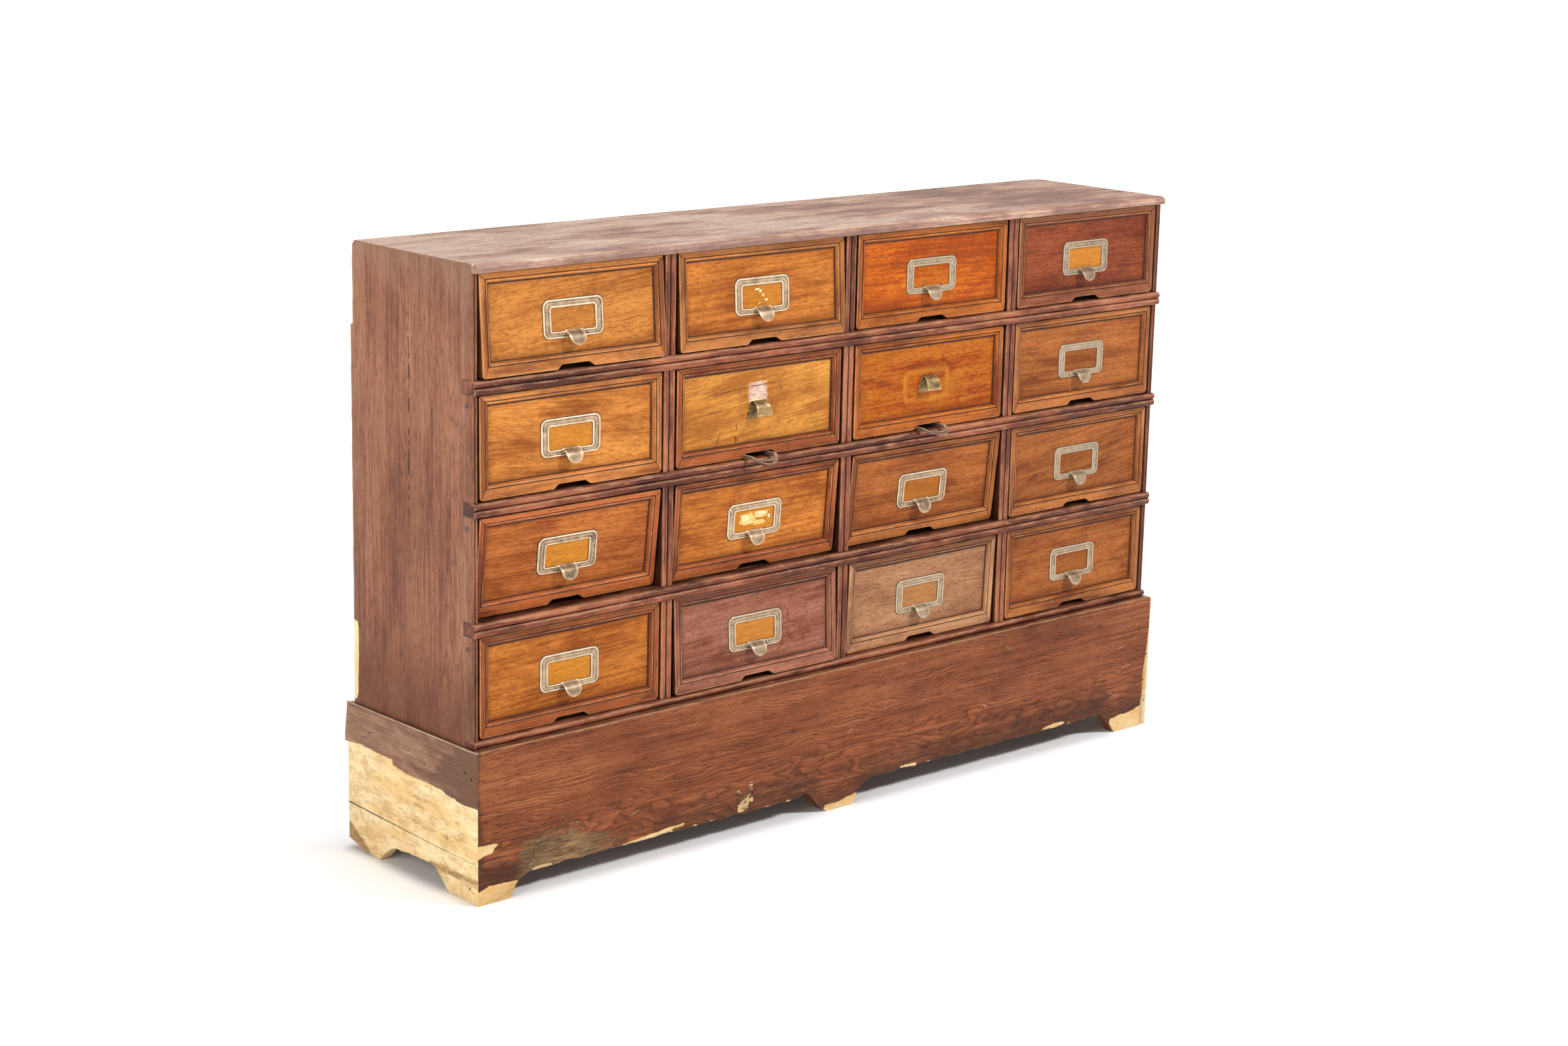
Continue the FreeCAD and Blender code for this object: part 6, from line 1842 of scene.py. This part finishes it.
# ------------------------------------------------------------------ trays, loops
for (r_, c) in CELLS:
    if (r_, c) in EMPTY:
        continue
    t = "r%dc%d" % (r_, c)
    P = Piece()
    X, Y, Z = COL[c], 34.0, ZB[r_] + .6
    sd = 1600 + r_ * 20 + c
    board(P, (X - 145, Y + 8, Z + .2), (X + 145, Y + 230, Z + 6), axis=0, r=.5, step=60, seed=sd, wear=.3, soil=.1)
    board(P, (X - 145, Y, Z), (X + 145, Y + 8, Z + 40), axis=0, r=1.6, step=40, seed=sd + 1, wear=.7)
    board(P, (X - 145, Y + 230, Z), (X + 145, Y + 238, Z + 100), axis=0, r=1.2, step=50, seed=sd + 2, wear=.5)

    def slope(v, m, pt):
        v = v.copy()
        y = v[:, 1] - Y
        lim = Z + np.where(y < 120, 40 + y * .5, 100)
        f = np.clip((v[:, 2] - Z) / 100.0, 0, 1)
        v[:, 2] = Z + f * (lim - Z)
        return v, m, pt

    for s in (-1, 1):
        xa = X - 153 if s < 0 else X + 145
        board(P, (xa, Y, Z), (xa + 8, Y + 238, Z + 100), axis=1, r=1.2, seed=sd + 4 + s, wear=.6, fn=slope, step=20)
        # through tenons of front and back, seen as end grain in the sides
        for yy, hh in ((Y + 1.2, 40), (Y + 231, 100)):
            for q in range(2 if hh < 50 else 5):
                z0 = Z + 5 + q * 19
                board(P, (X + s * 153 - .12, yy, z0), (X + s * 153 + .12, yy + 5.8, z0 + 9), axis=0, r=.05, e=1, step=20,
                      seed=sd + 9 + q, wear=.1, soil=.25, mat=1)
    P.build("file_tray_%s" % t, "drawer_" + t, [M["inner"], M["inside"]], ["tray_" + t])
    if (r_, c) in CUPS:
        P = Piece()
        xo = {2: -5.8, 3: -2.2}[c]
        Rm, Yc = 22.5, {2: -1.1, 3: -1.0}[c]
        path = [(-Rm, y) for y in np.linspace(33.5, Yc, 14)[:-1]]
        path += [(-Rm * math.cos(a), Yc - Rm * math.sin(a)) for a in np.linspace(0, math.pi, 30)]
        path += [(Rm, y) for y in np.linspace(Yc, 33.5, 14)[1:]]
        path = np.array(path)
        Y1, slope_t = {2: (-7.0, .56), 3: (-5.0, .44)}[c]
        for layer, (dz, th) in enumerate(((0.0, 1.5), (-3.9, 1.5))):
            y = path[:, 1]
            z = Z + 5.4 - .75 - np.maximum(0, Y1 - y) * slope_t
            if layer:
                near = np.clip((y + 26) / 34.0, 0, 1)
                z = z + dz * (.42 + .58 * near)
                z = np.maximum(z, Z + .95)
            pts = np.stack([X + xo + path[:, 0], y, z], 1)
            n = len(pts)
            tg = np.gradient(pts, axis=0)
            tg /= np.linalg.norm(tg, axis=1)[:, None]
            side = np.cross(tg, (0, 0, 1))
            side /= np.linalg.norm(side, axis=1)[:, None]
            up = np.cross(side, tg)
            sec = [(-2.5, -.45, .6), (-2.2, -.75, .7), (2.2, -.75, .7), (2.5, -.45, .6), (2.5, .45, .9), (2.2, .75, 1), (0, .8, .5), (-2.2, .75, 1), (-2.5, .45, .9)]
            shrink = .92 if layer else 1.0
            rings = [pts + side * a * shrink + up * b_ for a, b_, w in sec]
            v = np.stack(rings, 1).reshape(-1, 3)
            K = len(sec)
            faces = []
            for i in range(n - 1):
                for j in range(K):
                    p_, q = i * K + j, i * K + (j + 1) % K
                    faces.append((p_, q, q + K, p_ + K))
            faces += [tuple(range(K)), tuple(range((n - 1) * K, n * K))]
            # the strip's edges and the whole lower strip under the upper one are darker: painted shade
            mk = np.tile([[w, .9 if abs(a) > 2.4 else .1 + .3 * layer, .55] for a, b_, w in sec], (n, 1))
            P.add(v, faces, v + 40 * layer, mk)
        board(P, (X + xo - 25, 32, Z + .8), (X + xo + 25, 34, Z + 18.8), axis=0, r=.5, e=1, step=12, seed=1700 + c, wear=.5, soil=.2)
        P.build("pull_loop_%s_steel" % t, "drawer_" + t, [M["steel"]], ["pull_loop_" + t])

# ------------------------------------------------------------------ stage
b = Nodes("pale_floor")
g = b.new("TexCoord").outputs["Object"]
n1 = b.noise(g, (1.3, 1.3, 1.3), 3, .5)
fcol = b.mix(b.step(n1, .3, .7), (0.97, 0.97, 0.97), (0.95, 0.95, 0.955))
rx, ry, rz = b.xyz(g)
# the floor glows: not under the cabinet, weakly beside it, more to the left and behind where the cabinet's shadow
# falls, fully far off; painted light that lifts the cast shadows on the floor
fx = b.m("MAXIMUM", b.m("SUBTRACT", b.m("ABSOLUTE", rx), 0.668), 0.0)
fy = b.m("MAXIMUM", b.m("SUBTRACT", b.m("ABSOLUTE", ry), 0.146), 0.0)
out = b.step(b.vm("LENGTH", b.vec(fx, fy, 0.0)), 0.0, 0.03)
shadow_zone_glow = b.m("MAXIMUM", b.step(b.m("MULTIPLY", rx, -1.0), 0.62, 0.80), b.step(ry, 0.10, 0.25))
out = b.m("MULTIPLY", out, b.m("MULTIPLY_ADD", shadow_zone_glow, 0.26, 0.28))
floor_glow = b.m("MULTIPLY_ADD", b.step(b.vm("LENGTH", g), 1.6, 4.5), 1.0, out)
floor_mat = b.finish(fcol, 0.6, specular=.1)
pr = [n for n in floor_mat.node_tree.nodes if n.type == "BSDF_PRINCIPLED"][0]
pr.inputs["Emission Color"].default_value = (1, 1, 1, 1)
b.put(pr.inputs["Emission Strength"], floor_glow)
fm = bpy.data.meshes.new("floor")
S = 45.0
fm.from_pydata([(-S, -S, 0), (S, -S, 0), (S, S, 0), (-S, S, 0)], [], [(0, 1, 2, 3)])
fm.materials.append(floor_mat)
floor = bpy.data.objects.new("studio_floor", fm)
bpy.context.scene.collection.objects.link(floor)

world = bpy.data.worlds.new("studio")
world.use_nodes = True
bg = world.node_tree.nodes["Background"]
bg.inputs[0].default_value = (1.0, 1.0, 1.0, 1.0)
tc = world.node_tree.nodes.new("ShaderNodeTexCoord")          # a white backdrop low down, dim above
sx = world.node_tree.nodes.new("ShaderNodeSeparateXYZ")
mr = world.node_tree.nodes.new("ShaderNodeMapRange")
for k_, v_ in (("From Min", .16), ("From Max", .30), ("To Min", 1.0), ("To Max", .05)):
    mr.inputs[k_].default_value = v_
world.node_tree.links.new(tc.outputs["Generated"], sx.inputs[0])
world.node_tree.links.new(sx.outputs[2], mr.inputs["Value"])
world.node_tree.links.new(mr.outputs["Result"], bg.inputs[1])
bpy.context.scene.world = world


def area(name, loc, target, size, power, color=(1, 1, 1)):
    l = bpy.data.lights.new(name, "AREA")
    l.shape = "RECTANGLE"
    l.size, l.size_y = size
    l.energy = power
    l.color = color
    o = bpy.data.objects.new(name, l)
    o.location = loc
    d = Vector(target) - Vector(loc)
    o.rotation_euler = d.to_track_quat("-Z", "Y").to_euler()
    bpy.context.scene.collection.objects.link(o)


area("key_softbox", (3.2, -4.6, 5.2), (0.0, 0.0, 0.4), (1.0, 1.0), 432, (1.0, 0.99, 0.98))
area("fill_softbox", (-4.2, -1.4, 1.9), (0.0, 0.0, 0.4), (2.0, 2.0), 76)
area("top_softbox", (0.0, 0.4, 3.6), (0.0, 0.0, 0.0), (4.0, 3.0), 50)

# camera at the photograph's viewing angle
ROT = [[0.7440565627, -0.6677589669, 0.0218584894],
       [-0.1382065565, -0.1858420260, -0.9728112299],
       [0.6536656479, 0.7208055934, -0.2305656465]]
cam_d = bpy.data.cameras.new("camera")
cam_d.sensor_fit = "HORIZONTAL"
cam_d.sensor_width = 36.0
cam_d.lens = 36.0 * 4398.9135 / 2351.0
cam_d.clip_start, cam_d.clip_end = 0.05, 200.0
cam = bpy.data.objects.new("camera", cam_d)
pos = (np.array([-2211.13037, -3039.50552, 1424.07451]) - ORG) / 1000.0
x_, y_, z_ = np.array(ROT[0]), -np.array(ROT[1]), -np.array(ROT[2])
mw = Matrix.Identity(4)
for i in range(3):
    mw[i][0], mw[i][1], mw[i][2], mw[i][3] = x_[i], y_[i], z_[i], pos[i]
cam.matrix_world = mw
bpy.context.scene.collection.objects.link(cam)
bpy.context.scene.camera = cam

bpy.context.scene.view_settings.view_transform = "Standard"
bpy.context.scene.view_settings.look = "None"
bpy.context.scene.view_settings.exposure = 0.0
